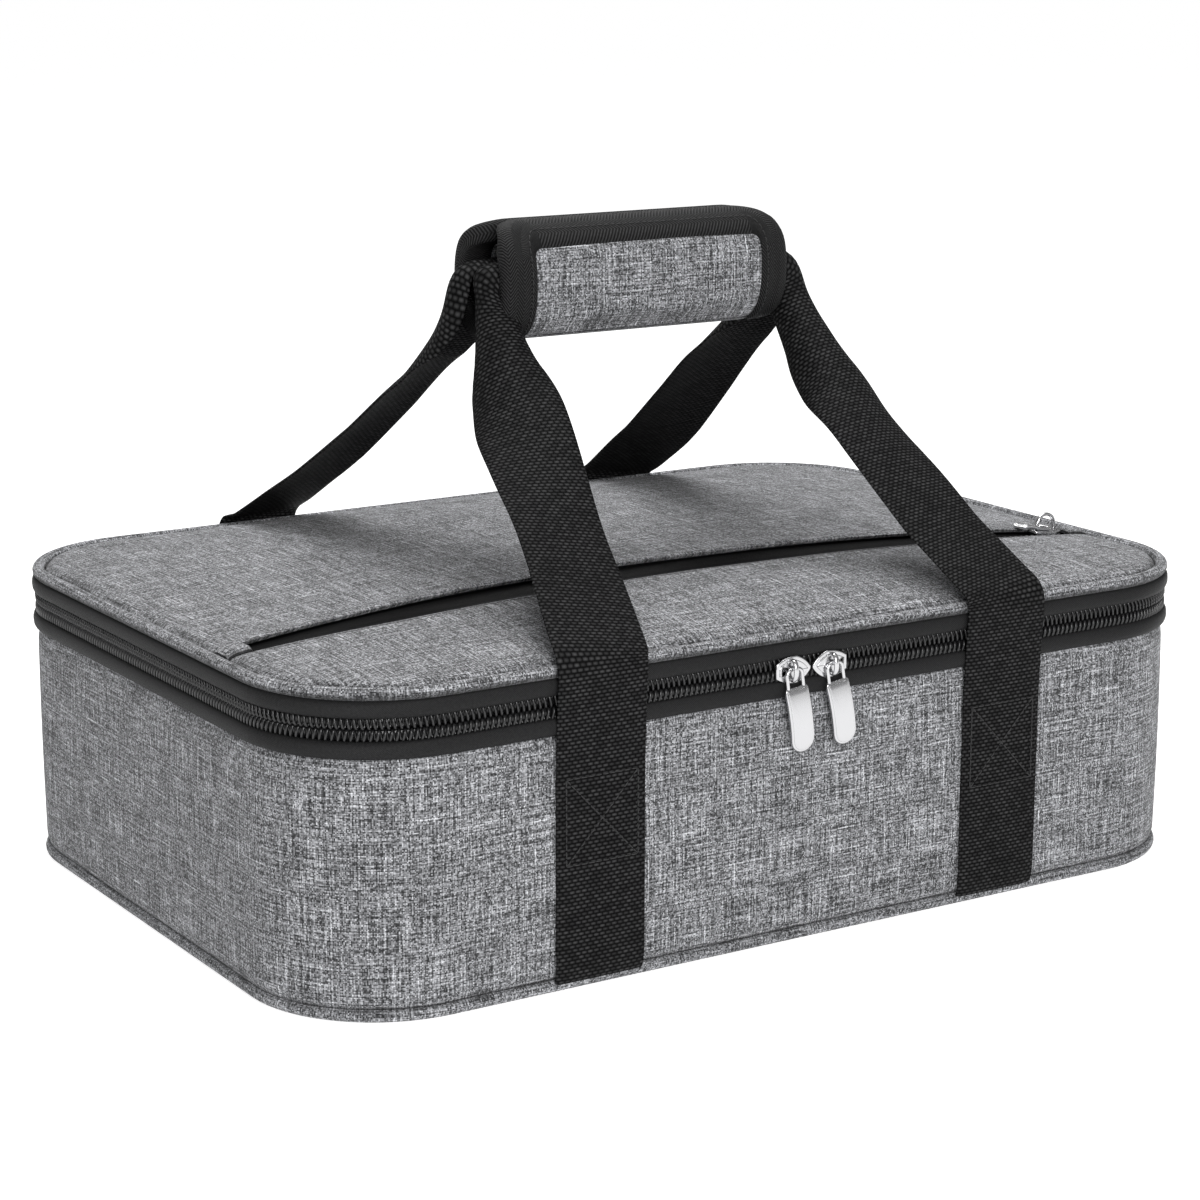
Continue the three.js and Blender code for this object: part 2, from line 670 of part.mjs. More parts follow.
function handleWebbing(signY, shares) {
  const route = strapRoute(signY, shares);
  const curve = new THREE.CatmullRomCurve3(route, false, 'centripetal');
  const climbSteps = 36;
  const turnSteps = 6;
  const rollStart = THREE.MathUtils.lerp(lidPanelTop, gripZ, strapRollStart);
  const rollEnd = gripZ - gripHeight / 2 - rollRadius;
  const half = [];
  for (let i = 0; i <= climbSteps; i += 1) {
    const centre = curve.getPointAt(i / climbSteps);
    const along = curve.getTangentAt(i / climbSteps);
    const out = new THREE.Vector3(0, along.z, -along.y).multiplyScalar(signY).normalize();
    const roll = strapRoll * THREE.MathUtils.smoothstep(centre.z, rollStart, rollEnd);
    half.push(strapSection(centre, along, out, roll));
  }
  const entry = route[route.length - 1];
  const turnCentre = new THREE.Vector3(entry.x + gripTurn, entry.y, entry.z);
  const outwards = new THREE.Vector3(0, signY, 0);
  for (let i = 1; i <= turnSteps; i += 1) {
    const angle = (i / turnSteps) * (Math.PI / 2);
    const spoke = new THREE.Vector3(-Math.cos(angle), 0, Math.sin(angle));
    const centre = turnCentre.clone().addScaledVector(spoke, gripTurn);
    const along = new THREE.Vector3(Math.sin(angle), 0, Math.cos(angle));
    half.push(strapSection(centre, along, outwards, strapRoll));
  }
  const mirrored = half.map((section) => section.map((point) => {
    return new THREE.Vector3(-point.x, point.y, point.z);
  }));
  return loft([...half, ...mirrored.reverse()], false);
}

function buildHandles() {
  addPiece('front_handle_webbing', blackWebbing, handleWebbing(-1, frontShares));
  addPiece('back_handle_webbing', blackWebbing, handleWebbing(1, backShares));
}

// Grip: a padded tube in two halves. Angles run from the front, up over the top, in degrees
function gripPoint(degrees, inset) {
  const angle = THREE.MathUtils.degToRad(degrees);
  const across = Math.abs(Math.cos(angle) / (gripDepth / 2)) ** gripSquareness;
  const upright = Math.abs(Math.sin(angle) / (gripHeight / 2)) ** gripSquareness;
  const radius = (across + upright) ** (-1 / gripSquareness) - inset;
  return new THREE.Vector2(gripY - radius * Math.cos(angle), gripZ + radius * Math.sin(angle));
}

function gripArc(from, to, inset) {
  const steps = Math.max(1, Math.round(Math.abs(to - from) / gripArcStep));
  return Array.from({ length: steps + 1 }, (_, i) => gripPoint(from + ((to - from) * i) / steps, inset));
}

const acrossGrip = new THREE.Matrix4().makeBasis(
  new THREE.Vector3(0, 1, 0),
  new THREE.Vector3(0, 0, 1),
  new THREE.Vector3(1, 0, 0),
);

function gripSlab(points, fromX, toX) {
  return extrudeUp(new THREE.Shape(points), fromX, toX).applyMatrix4(acrossGrip);
}

// Angle that a length along the grip's outer face takes up
function gripAngle(length) {
  return THREE.MathUtils.radToDeg(length / (gripHeight / 2));
}

const gripGapAngle = gripAngle(1.5 * seamGap);
const underlapInset = gripWall - underlapThickness;
const loopInset = underlapInset - seamGap - touchStripThickness;
const hookInset = loopInset - seamGap - touchStripThickness;
const flapEdgeInset = hookInset - seamGap;
const bindingInner = gripLength / 2 - gripBindingWidth;
const bindingFrom = flapTo - gripAngle(gripBindingWidth);
const bindingLap = 2;

// A bound half of the grip: grey padding inside, and binding round its two ends and its free edge
function addGripHalf(name, whole, padding, edge) {
  addPiece(name, greyLinen, gripSlab(padding, -bindingInner + seamGap, bindingInner - seamGap));
  const half = gripLength / 2;
  const ends = [gripSlab(whole, -half, -bindingInner), gripSlab(whole, bindingInner, half)];
  const freeEdge = gripSlab(edge, -bindingInner - bindingLap, bindingInner + bindingLap);
  addPiece(`${name}_binding`, blackTape, join(...ends, freeEdge));
}

function buildGrip() {
  const flapLow = flapFrom + gripGapAngle;
  const flapWhole = [
    ...gripArc(flapLow, bindingFrom, 0),
    ...gripArc(bindingFrom, flapTo, 0).slice(1),
    ...gripArc(flapTo, underlapFrom, flapEdgeInset),
    ...gripArc(underlapFrom - gripGapAngle, flapLow, gripWall),
  ];
  const edgeLow = Math.min(bindingFrom, underlapFrom) - gripGapAngle;
  const padTop = edgeLow - gripGapAngle;
  const flapPadding = [...gripArc(flapLow, padTop, 0), ...gripArc(padTop, flapLow, gripWall)];
  const flapEdge = [
    ...gripArc(edgeLow, flapTo, 0),
    ...gripArc(flapTo, underlapFrom, flapEdgeInset),
    ...gripArc(underlapFrom - gripGapAngle, edgeLow, gripWall),
  ];
  addGripHalf('grip_flap', flapWhole, flapPadding, flapEdge);
  const shellTop = flapTo + gripGapAngle;
  const shellLow = flapFrom + fullTurn;
  const shellEdgeEnd = shellTop + gripAngle(gripBindingWidth);
  const shellWhole = [
    ...gripArc(shellTop, shellLow, 0),
    ...gripArc(shellLow, underlapFrom, gripWall),
    ...gripArc(underlapFrom, shellTop, underlapInset),
  ];
  const shellPadding = [
    ...gripArc(shellEdgeEnd + gripGapAngle, shellLow, 0),
    ...gripArc(shellLow, shellEdgeEnd + gripGapAngle, gripWall),
  ];
  const shellEdge = [
    ...gripArc(shellTop, shellEdgeEnd, 0),
    ...gripArc(shellEdgeEnd, underlapFrom, gripWall),
    ...gripArc(underlapFrom, shellTop, underlapInset),
  ];
  addGripHalf('grip_shell', shellWhole, shellPadding, shellEdge);
  const stripFrom = underlapFrom + gripGapAngle;
  const stripTo = flapTo - gripGapAngle;
  const halfStrip = touchStripLength / 2;
  const strips = [['loop_strip', loopInset], ['hook_strip', hookInset]];
  for (const [name, inset] of strips) {
    const outside = gripArc(stripFrom, stripTo, inset);
    const inside = gripArc(stripTo, stripFrom, inset + touchStripThickness);
    addPiece(name, blackTape, gripSlab([...outside, ...inside], -halfStrip, halfStrip));
  }
}

buildBase();
buildZip();
buildLid();
buildMainSliders();
buildPocketSlider();
buildAnchors();
buildHandles();
buildGrip();

export default carrier;
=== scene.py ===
# %% [markdown]
# # A casserole carrier
# A soft carrier is sewn from flat cloth over foam: a wall wrapped round a rounded box, a crowned lid, black zip bands,
# webbing handles and a padded grip. The solid model already holds every size and joint. This lesson lays cloth, coil
# and metal over it, piece by piece, and sets up the lights and the camera for a photograph.

# %% Set-up
import json
import math

import bpy
import numpy as np
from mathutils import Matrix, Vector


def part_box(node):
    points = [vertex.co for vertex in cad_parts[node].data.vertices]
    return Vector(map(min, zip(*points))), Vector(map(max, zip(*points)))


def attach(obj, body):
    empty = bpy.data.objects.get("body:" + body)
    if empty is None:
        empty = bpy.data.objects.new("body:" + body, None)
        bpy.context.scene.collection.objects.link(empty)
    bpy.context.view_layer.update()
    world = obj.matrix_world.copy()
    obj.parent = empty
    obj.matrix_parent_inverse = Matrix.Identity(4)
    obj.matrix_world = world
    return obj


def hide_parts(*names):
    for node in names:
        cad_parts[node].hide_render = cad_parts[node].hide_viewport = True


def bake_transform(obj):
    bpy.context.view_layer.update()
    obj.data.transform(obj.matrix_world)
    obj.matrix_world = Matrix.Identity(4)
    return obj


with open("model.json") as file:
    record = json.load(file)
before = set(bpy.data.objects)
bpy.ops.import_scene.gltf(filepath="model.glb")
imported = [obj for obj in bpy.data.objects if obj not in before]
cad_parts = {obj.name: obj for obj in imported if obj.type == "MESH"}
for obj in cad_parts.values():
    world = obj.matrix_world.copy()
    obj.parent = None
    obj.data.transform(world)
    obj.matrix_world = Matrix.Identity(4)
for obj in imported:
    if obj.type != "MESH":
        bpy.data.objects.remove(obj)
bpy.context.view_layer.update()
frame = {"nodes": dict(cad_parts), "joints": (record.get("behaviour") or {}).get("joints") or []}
scene = bpy.context.scene

# %% [markdown]
# ## Sizes
# Every length below is in millimetres and is read from the solid model, so the cloth always fits the frame. Only the
# corner radius is typed, because a box round a piece doesn't show it.


# %% Sizes
def box_mm(node):
    """Lowest and highest corner of a solid piece, in millimetres."""
    low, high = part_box(node)
    return np.array(low) * 1000, np.array(high) * 1000


WALL_LOW, WALL_HIGH = box_mm("outer_wall")
HALF_LENGTH, HALF_DEPTH = WALL_HIGH[0], WALL_HIGH[1]
CORNER = 54.0
LOWER_TAPE = box_mm("lower_zip_tape")
UPPER_TAPE = box_mm("upper_zip_tape")
LOWER_COIL = box_mm("lower_zip_coil")
UPPER_COIL = box_mm("upper_zip_coil")
LID_PIPING = box_mm("lid_piping")
BASE_PIPING = box_mm("bottom_piping")
PARTING = (LOWER_COIL[1][2] + UPPER_COIL[0][2]) / 2
print("wall half length %.1f, half depth %.1f, zip parts at %.1f" % (HALF_LENGTH, HALF_DEPTH, PARTING))

# %% [markdown]
# ## Meshes from grids
# Each piece is a grid of points given by a formula in two parameters. The cloth coordinates are kept with it, in
# millimetres along and across the threads, so that every weave has its real size.


# %% Lengths and grids
def unit(vectors):
    """Vectors of length 1 that point the same way."""
    return vectors / np.linalg.norm(vectors, axis=1, keepdims=True)


def run_length(points):
    """Distance along a path at each of its points."""
    return np.concatenate([[0], np.cumsum(np.linalg.norm(np.diff(points, axis=0), axis=1))])


def loop_length(points):
    """Distance along a closed path, with the closing length added."""
    return run_length(np.concatenate([points, points[:1]]))


def lattice(u, v):
    """Two grids that pair each u with each v, with a row for each u."""
    return np.meshgrid(u, v, indexing="ij")


# %% Meshes from grids
def grid_faces(rows, columns, wrap_rows, wrap_columns):
    """Corner numbers of the quads of a grid, as four (row, column) pairs that run past the end where the grid wraps."""
    i, j = np.meshgrid(
        np.arange(rows if wrap_rows else rows - 1), np.arange(columns if wrap_columns else columns - 1), indexing="ij"
    )
    i, j = i.ravel(), j.ravel()
    return np.stack([i, i + 1, i + 1, i], 1), np.stack([j, j, j + 1, j + 1], 1)


def make_piece(name, points, faces, cloth, shadow=None):
    """An object from points (millimetres), faces (lists of corner numbers) and one cloth coordinate per face corner.
    shadow, from 0 to 1 for each point, is painted shade: how far the cloth's colour is darkened where it lies in shade."""
    mesh = bpy.data.meshes.new(name)
    mesh.from_pydata((np.asarray(points) / 1000).tolist(), [], faces)
    layer = mesh.uv_layers.new(name="cloth")
    layer.data.foreach_set("uv", np.concatenate(cloth).astype(np.float32).ravel())
    mesh.polygons.foreach_set("use_smooth", np.ones(len(mesh.polygons), bool))
    # painted shade: the shadow attribute darkens the cloth's colour where it lies in shade
    if shadow is not None:
        depth = mesh.attributes.new("shadow", "FLOAT", "POINT")
        depth.data.foreach_set("value", np.asarray(shadow, np.float32).ravel())
    mesh.update()
    piece = bpy.data.objects.new(name, mesh)
    scene.collection.objects.link(piece)
    return piece


def outward(points, faces):
    """True if the faces of a closed body turn outwards: the sum of a x b . c over a fan of each face is positive."""
    points = np.asarray(points, float)
    total = 0.0
    for size in {len(face) for face in faces}:
        corners = points[np.array([face for face in faces if len(face) == size])]
        for k in range(1, size - 1):
            total += np.einsum("ij,ij->", corners[:, 0], np.cross(corners[:, k], corners[:, k + 1]))
    return total > 0


def facing_out(points, faces, cloth):
    """The same faces and cloth coordinates, turned over if the body is inside out."""
    if outward(points, faces):
        return faces, cloth
    return [face[::-1] for face in faces], [uv[::-1] for uv in cloth]


def tube_parts(rings, along, around, closed):
    """A skin over rings[i, j]: on the cloth row i lies at along[i], column j at around[j]. Open runs get end faces."""
    rows, columns = rings.shape[:2]
    fi, fj = grid_faces(rows, columns, closed, True)
    faces = ((fi % rows) * columns + fj % columns).tolist()
    cloth = list(np.stack([np.asarray(along)[fi], np.asarray(around)[fj]], 2))
    if not closed:
        end = np.arange(columns)
        for row, order in ((0, end), (rows - 1, end[::-1])):
            faces.append((row * columns + order).tolist())
            cloth.append(np.stack([np.full(columns, along[row]), np.asarray(around)[order]], 1))
    points = rings.reshape(-1, 3)
    faces, cloth = facing_out(points, faces, cloth)
    return points, faces, cloth


def sheet_parts(top, under, cloth_at):
    """A closed slab from two grids of points, top and under, with side faces round its border."""
    rows, columns = top.shape[:2]
    fi, fj = grid_faces(rows, columns, False, False)
    quads = fi * columns + fj
    flat = cloth_at.reshape(-1, 2)
    lower = rows * columns
    border = np.concatenate([
        np.arange(columns - 1),
        np.arange(rows - 1) * columns + columns - 1,
        (rows - 1) * columns + np.arange(columns - 1, 0, -1),
        np.arange(rows - 1, 0, -1) * columns,
    ])
    after = np.roll(border, -1)
    sides = np.stack([border, border + lower, after + lower, after], 1)
    faces = np.concatenate([quads, quads[:, ::-1] + lower, sides])
    points = np.concatenate([top.reshape(-1, 3), under.reshape(-1, 3)])
    depth = np.linalg.norm(top - under, axis=2).reshape(-1)
    cloth = flat[faces % lower]
    cloth[-len(sides) :] += np.where(sides >= lower, depth[sides % lower], 0)[:, :, None]
    faces, cloth = facing_out(points, faces.tolist(), list(cloth))
    return points, faces, cloth


def slab_piece(name, top, thickness, shadow=None):
    """A flat-lying slab under a grid of points, with x and y as its cloth coordinates."""
    return make_piece(name, *sheet_parts(top, top - np.array([0, 0, thickness]), top[:, :, :2]), shadow)


def merged(*parts):
    """Several bodies as one set of points, faces and cloth coordinates."""
    points, faces, cloth, start = [], [], [], 0
    for part_points, part_faces, part_cloth in parts:
        points.append(np.asarray(part_points))
        faces += [[corner + start for corner in face] for face in part_faces]
        cloth += list(part_cloth)
        start += len(part_points)
    return np.concatenate(points), faces, cloth


def dress(piece, material, slot, body, *nodes):
    """Gives a finished piece its material and lets it take the place of solid pieces, which it hides; slot is not used.
    It rides on a body; given two bodies and the points (metres) where a bend would start and end, it stays in place."""
    piece.data.materials.append(material)
    if isinstance(body, str):
        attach(piece, body)
    else:
        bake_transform(piece)
    if nodes:
        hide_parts(*nodes)
    where = body if isinstance(body, str) else "%s and %s" % body[:2]
    print("%s: %d faces on %s" % (piece.name, len(piece.data.polygons), where))


# %% [markdown]
# ## The outline that every layer follows
# Seen from above the carrier is a rectangle with round corners. Walls, pipings, bands and bindings are all profiles
# carried round it, so one function gives its points and its outward directions.


# %% Outline
def arc_run(start, corners):
    """Points and outward directions of the outline from one point on the back edge, counter-clockwise through corners:
    straight runs step about 6 mm, corners turn in 16 steps."""
    at, out = [np.array(start, float)], [np.array([0.0, 1.0])]
    for sign_x, sign_y, begin in corners:
        centre = np.array([sign_x * (HALF_LENGTH - CORNER), sign_y * (HALF_DEPTH - CORNER)])
        angle = begin + np.linspace(0, np.pi / 2, 17)
        direction = np.stack([np.cos(angle), np.sin(angle)], 1)
        first = centre + CORNER * direction[0]
        count = max(2, int(np.linalg.norm(first - at[-1]) // 6))
        share = np.arange(1, count)[:, None] / count
        at += list(at[-1] + (first - at[-1]) * share)
        out += [direction[0]] * (count - 1)
        at += list(centre + CORNER * direction)
        out += list(direction)
    return at, out


CORNERS = [(-1, 1, np.pi / 2), (-1, -1, np.pi), (1, -1, 1.5 * np.pi), (1, 1, 0.0)]


def closed_outline():
    """The whole outline: points, outward directions, and distance along it with the closing length added."""
    at, out = arc_run((HALF_LENGTH - CORNER - 6, HALF_DEPTH), CORNERS)
    at, out = np.array(at), np.array(out)
    return at, out, loop_length(at)


def zip_outline(end):
    """The zip's open run: from the back edge at x = -end round the left, the front and the right to x = +end."""
    at, out = arc_run((-end, HALF_DEPTH), CORNERS)
    way = np.array([end, HALF_DEPTH]) - at[-1]
    count = max(2, int(np.linalg.norm(way) // 6))
    at = np.concatenate([at, at[-1] + way * np.arange(1, count + 1)[:, None] / count])
    out = np.concatenate([out, np.tile([0.0, 1.0], (count, 1))])
    return at, out, run_length(at)


RIM_AT, RIM_OUT, RIM_ALONG = closed_outline()


def carried(profile, at, out):
    """Rings[i, j]: profile point j, given as (offset outwards, height), carried to outline point i."""
    place = at[:, None, :] + out[:, None, :] * profile[None, :, :1]
    height = np.broadcast_to(profile[None, :, 1:], place.shape[:2] + (1,))
    return np.concatenate([place, height], 2)


def oval(offset, height, half_width, half_height, power=1.0, count=18):
    """A closed profile: an ellipse round (offset, height); a power below 1 squares its shoulders."""
    angle = np.linspace(0, 2 * np.pi, count, endpoint=False)
    across, up = np.cos(angle), np.sin(angle)
    shape = np.stack([np.sign(across) * np.abs(across) ** power, np.sign(up) * np.abs(up) ** power], 1)
    return np.array([offset, height]) + shape * np.array([half_width, half_height])


def rim_piece(name, profile, shadow=None):
    """A profile carried all the way round the outline."""
    parts = tube_parts(carried(profile, RIM_AT, RIM_OUT), RIM_ALONG, loop_length(profile), True)
    return make_piece(name, *parts, shadow)


print("outline: %d points, %.0f mm round" % (len(RIM_AT), RIM_ALONG[-1]))

# %% [markdown]
# ## Weaves as node groups
# A weave is a height and a shade over the cloth's own millimetre coordinates. Linen-look polyester crosses thick and
# thin threads, so its streaks run both ways. Webbing has rows of small beads. Binding tape is a herringbone and the zip
# bands are a fine twill.


# %% Node helpers
def feed(tree, sockets, values):
    """Links or sets each socket, for values that are sockets or plain numbers."""
    for socket, value in zip(sockets, values):
        if isinstance(value, (int, float)):
            socket.default_value = value
        else:
            tree.links.new(value, socket)


def calc(tree, operation, *values):
    """A maths node on sockets or plain numbers; gives its result socket."""
    node = tree.nodes.new("ShaderNodeMath")
    node.operation = operation
    feed(tree, node.inputs, values)
    return node.outputs[0]


def point_node(tree, kind, *place):
    """A texture node of a kind, at a point given by three sockets or numbers."""
    join, node = tree.nodes.new("ShaderNodeCombineXYZ"), tree.nodes.new(kind)
    feed(tree, join.inputs, place)
    tree.links.new(join.outputs[0], node.inputs["Vector"])
    return node


def noise(tree, x, y, z, detail):
    """Smooth noise from 0 to 1 at a point given by three sockets or numbers."""
    node = point_node(tree, "ShaderNodeTexNoise", x, y, z)
    feed(tree, (node.inputs["Scale"], node.inputs["Detail"]), (1.0, detail))
    return node.outputs["Fac"]


def cloth_noise(tree, u, v, fine_u, fine_v, series):
    """Smooth noise over the cloth, fine_u and fine_v to the millimetre, in a series of its own."""
    return noise(tree, calc(tree, "MULTIPLY", u, fine_u), calc(tree, "MULTIPLY", v, fine_v), series, 2.0)


def random_cells(tree, x, y, series):
    """A random number from 0 to 1 for each whole-number cell of two sockets, in a series of its own."""
    node = point_node(tree, "ShaderNodeTexWhiteNoise", calc(tree, "FLOOR", x), calc(tree, "FLOOR", y), series)
    node.noise_dimensions = "3D"
    return node.outputs["Value"]


def shade(tree, factor, dark, light):
    """A grey between two colours, by a factor from 0 to 1."""
    node = tree.nodes.new("ShaderNodeMix")
    node.data_type = "RGBA"
    tree.links.new(factor, node.inputs["Factor"])
    node.inputs["A"].default_value = (*dark, 1)
    node.inputs["B"].default_value = (*light, 1)
    return node.outputs["Result"]


def weave_group(name, formula):
    """A node group from cloth coordinates to a colour and a height in millimetres, filled in by formula."""
    tree = bpy.data.node_groups.new(name, "ShaderNodeTree")
    tree.interface.new_socket("Cloth", in_out="INPUT", socket_type="NodeSocketVector")
    tree.interface.new_socket("Color", in_out="OUTPUT", socket_type="NodeSocketColor")
    tree.interface.new_socket("Height", in_out="OUTPUT", socket_type="NodeSocketFloat")
    start, end = tree.nodes.new("NodeGroupInput"), tree.nodes.new("NodeGroupOutput")
    split = tree.nodes.new("ShaderNodeSeparateXYZ")
    tree.links.new(start.outputs["Cloth"], split.inputs[0])
    color, height = formula(tree, split.outputs[0], split.outputs[1])
    tree.links.new(color, end.inputs["Color"])
    tree.links.new(height, end.inputs["Height"])
    return tree


def wave(tree, value, period, shift=0.0):
    """sin(2 pi (value / period + shift))"""
    turns = calc(tree, "MULTIPLY_ADD", value, 2 * math.pi / period, 2 * math.pi * shift)
    return calc(tree, "SINE", turns)


# %% Weaves
LINEN_PITCH = 0.55


def linen(tree, u, v):
    """Plain weave of melange threads LINEN_PITCH mm apart. Each thread is a row of dyed dashes, warp and weft show by
    turns at their crossings, single crossings differ, and rare thick threads (slubs) run bright."""
    warp_at, weft_at = calc(tree, "DIVIDE", u, LINEN_PITCH), calc(tree, "DIVIDE", v, LINEN_PITCH)
    warp_row, weft_row = calc(tree, "FLOOR", warp_at), calc(tree, "FLOOR", weft_at)
    over = calc(tree, "MODULO", calc(tree, "ABSOLUTE", calc(tree, "ADD", warp_row, weft_row)), 2.0)
    warp_set, weft_set = calc(tree, "MULTIPLY", warp_row, 0.37), calc(tree, "MULTIPLY", weft_row, 0.61)
    warp_dash = random_cells(tree, warp_at, calc(tree, "MULTIPLY_ADD", weft_at, 0.45, warp_set), 1.0)
    weft_dash = random_cells(tree, calc(tree, "MULTIPLY_ADD", warp_at, 0.45, weft_set), weft_at, 2.0)
    speck = random_cells(tree, warp_at, weft_at, 3.0)
    warp_long = cloth_noise(tree, u, v, 1.5, 0.045, 3.0)
    weft_long = cloth_noise(tree, u, v, 0.045, 1.5, 9.0)
    cloud = cloth_noise(tree, u, v, 0.05, 0.05, 1.0)
    dash = calc(tree, "MULTIPLY_ADD", over, calc(tree, "SUBTRACT", warp_dash, weft_dash), weft_dash)
    tone = calc(tree, "MULTIPLY_ADD", dash, 0.5, calc(tree, "MULTIPLY_ADD", speck, 0.72, -0.1))
    for streak, share in ((warp_long, 1.4), (weft_long, 1.4), (cloud, 0.24)):
        tone = calc(tree, "ADD", tone, calc(tree, "MULTIPLY_ADD", streak, share, -share / 2))
    slubs = [calc(tree, "MULTIPLY", calc(tree, "SUBTRACT", long, 0.67), 4.0) for long in (warp_long, weft_long)]
    slub = calc(tree, "MAXIMUM", calc(tree, "MAXIMUM", *slubs), 0.0)
    factor = calc(tree, "ADD", calc(tree, "MAXIMUM", tone, 0.0), slub)
    factor = calc(tree, "POWER", calc(tree, "MINIMUM", factor, 1.5), 1.6)
    color = shade(tree, factor, (0.017, 0.0172, 0.018), (0.385, 0.39, 0.408))
    color.node.clamp_factor = False
    crossing = calc(tree, "ADD", wave(tree, u, LINEN_PITCH), wave(tree, v, LINEN_PITCH))
    threads = calc(tree, "MULTIPLY", crossing, 0.04)
    height = calc(tree, "ADD", threads, calc(tree, "MULTIPLY", tone, 0.1))
    return color, height


def webbing(tree, u, v):
    """Rows of beads across the strap every 1.5 mm; beads are 2.6 mm wide, set on by half a bead from row to row, and
    each has a shade of its own."""
    row_at = calc(tree, "DIVIDE", u, 1.5)
    bead_at = calc(tree, "MULTIPLY_ADD", calc(tree, "FLOOR", row_at), 0.5, calc(tree, "DIVIDE", v, 2.6))
    row = calc(tree, "POWER", calc(tree, "ABSOLUTE", wave(tree, row_at, 2.0)), 1.1)
    bead = calc(tree, "POWER", calc(tree, "ABSOLUTE", wave(tree, bead_at, 2.0)), 0.7)
    level = calc(tree, "MULTIPLY", row, bead)
    own = calc(tree, "MULTIPLY_ADD", random_cells(tree, row_at, bead_at, 5.0), 0.6, 0.4)
    factor = calc(tree, "MULTIPLY", calc(tree, "POWER", level, 1.6), own)
    color = shade(tree, factor, (0.0004, 0.0004, 0.0005), (0.05, 0.05, 0.0507))
    return color, calc(tree, "MULTIPLY", level, 0.35)


def herringbone(tree, u, v):
    """Slanted ribs that turn back every 6 mm across the tape: sin over along + |distance to the nearest turn|."""
    fold = calc(tree, "ABSOLUTE", calc(tree, "SUBTRACT", calc(tree, "PINGPONG", v, 6.0), 3.0))
    rib = wave(tree, calc(tree, "ADD", u, calc(tree, "MULTIPLY", fold, 1.4)), 1.5)
    speck = cloth_noise(tree, u, v, 1.2, 1.2, 4.0)
    level = calc(tree, "MULTIPLY_ADD", rib, 0.5, 0.5)
    factor = calc(tree, "MULTIPLY", level, calc(tree, "MULTIPLY_ADD", speck, 1.2, 0.2))
    color = shade(tree, factor, (0.0005, 0.0005, 0.0006), (0.034, 0.034, 0.0346))
    return color, calc(tree, "MULTIPLY", level, 0.28)


def twill(tree, u, v, light=0.024):
    """Fine slanted ribs every 0.8 mm: sin over along + across."""
    rib = wave(tree, calc(tree, "ADD", u, v), 0.8)
    speck = cloth_noise(tree, u, v, 1.1, 1.1, 6.0)
    level = calc(tree, "MULTIPLY_ADD", rib, 0.5, 0.5)
    factor = calc(tree, "MULTIPLY_ADD", speck, 0.7, calc(tree, "MULTIPLY", level, 0.3))
    color = shade(tree, factor, (0.001, 0.001, 0.0011), (light, light, 1.03 * light))
    return color, calc(tree, "MULTIPLY", level, 0.12)


WEAVES = {formula.__name__: weave_group(formula.__name__, formula) for formula in (linen, webbing, herringbone, twill)}
# painted shade: a darker copy of the twill for the pocket's tapes, which lie shaded in the slit
WEAVES["shaded twill"] = weave_group("shaded twill", lambda tree, u, v: twill(tree, u, v, 0.005))
print("weaves:", ", ".join(WEAVES))

# %% [markdown]
# ## Materials
# Cloth is rough with a little sheen along its edges. Coil is nylon with a soft shine, the hardware is polished plate,
# and the lining is a silvered film that crinkles.


# %% Materials
def plain_material(name, color, roughness, metallic=0.0):
    """A material with one colour and one roughness; gives it with its tree and its shader."""
    material = bpy.data.materials.new(name)
    material.use_nodes = True
    tree = material.node_tree
    shader = tree.nodes["Principled BSDF"]
    shader.inputs["Base Color"].default_value = (*color, 1)
    shader.inputs["Roughness"].default_value = roughness
    shader.inputs["Metallic"].default_value = metallic
    return material, tree, shader


def add_bump(tree, shader, height, strength):
    """Lets a height in millimetres tilt the surface."""
    bump = tree.nodes.new("ShaderNodeBump")
    bump.inputs["Strength"].default_value = strength
    bump.inputs["Distance"].default_value = 0.001
    tree.links.new(height, bump.inputs["Height"])
    tree.links.new(bump.outputs["Normal"], shader.inputs["Normal"])


def cloth_coordinates(tree):
    """The piece's own cloth coordinates."""
    node = tree.nodes.new("ShaderNodeUVMap")
    node.uv_map = "cloth"
    return node.outputs["UV"]


def cloth_material(name, weave, roughness, sheen, strength, gloss):
    """Cloth: a weave group drives colour and relief; gloss is the strength of its shine, and the piece's own shadow
    attribute, which is 0 where it isn't set, is painted shade that takes up to 85 % of the colour away."""
    material, tree, shader = plain_material(name, (0.2, 0.2, 0.2), roughness)
    shader.inputs["Sheen Weight"].default_value = sheen
    shader.inputs["Sheen Roughness"].default_value = 0.5
    shader.inputs["Specular IOR Level"].default_value = gloss
    group = tree.nodes.new("ShaderNodeGroup")
    group.node_tree = WEAVES[weave]
    tree.links.new(cloth_coordinates(tree), group.inputs["Cloth"])
    # painted shade: the shadow attribute mixes the weave's colour towards near-black
    seam = tree.nodes.new("ShaderNodeAttribute")
    seam.attribute_name = "shadow"
    dim = tree.nodes.new("ShaderNodeMix")
    dim.data_type = "RGBA"
    tree.links.new(calc(tree, "MULTIPLY", seam.outputs["Fac"], 0.85), dim.inputs["Factor"])
    tree.links.new(group.outputs["Color"], dim.inputs["A"])
    dim.inputs["B"].default_value = (0.004, 0.004, 0.0043, 1)
    tree.links.new(dim.outputs["Result"], shader.inputs["Base Color"])
    add_bump(tree, shader, group.outputs["Height"], strength)
    return material


# name, weave, roughness, sheen, relief, gloss
LINEN = cloth_material("grey linen", "linen", 0.85, 0.1, 0.7, 0.2)
WEBBING = cloth_material("black webbing", "webbing", 0.6, 0.0, 1.0, 0.05)
BINDING = cloth_material("herringbone binding", "herringbone", 0.65, 0.0, 0.9, 0.09)
TAPE = cloth_material("twill tape", "twill", 0.55, 0.0, 0.8, 0.12)
# painted shade: the pocket's tapes use the darker twill copy and less shine to look shaded in the slit
POCKET_TAPE = cloth_material("shaded twill tape", "shaded twill", 0.6, 0.0, 0.8, 0.03)
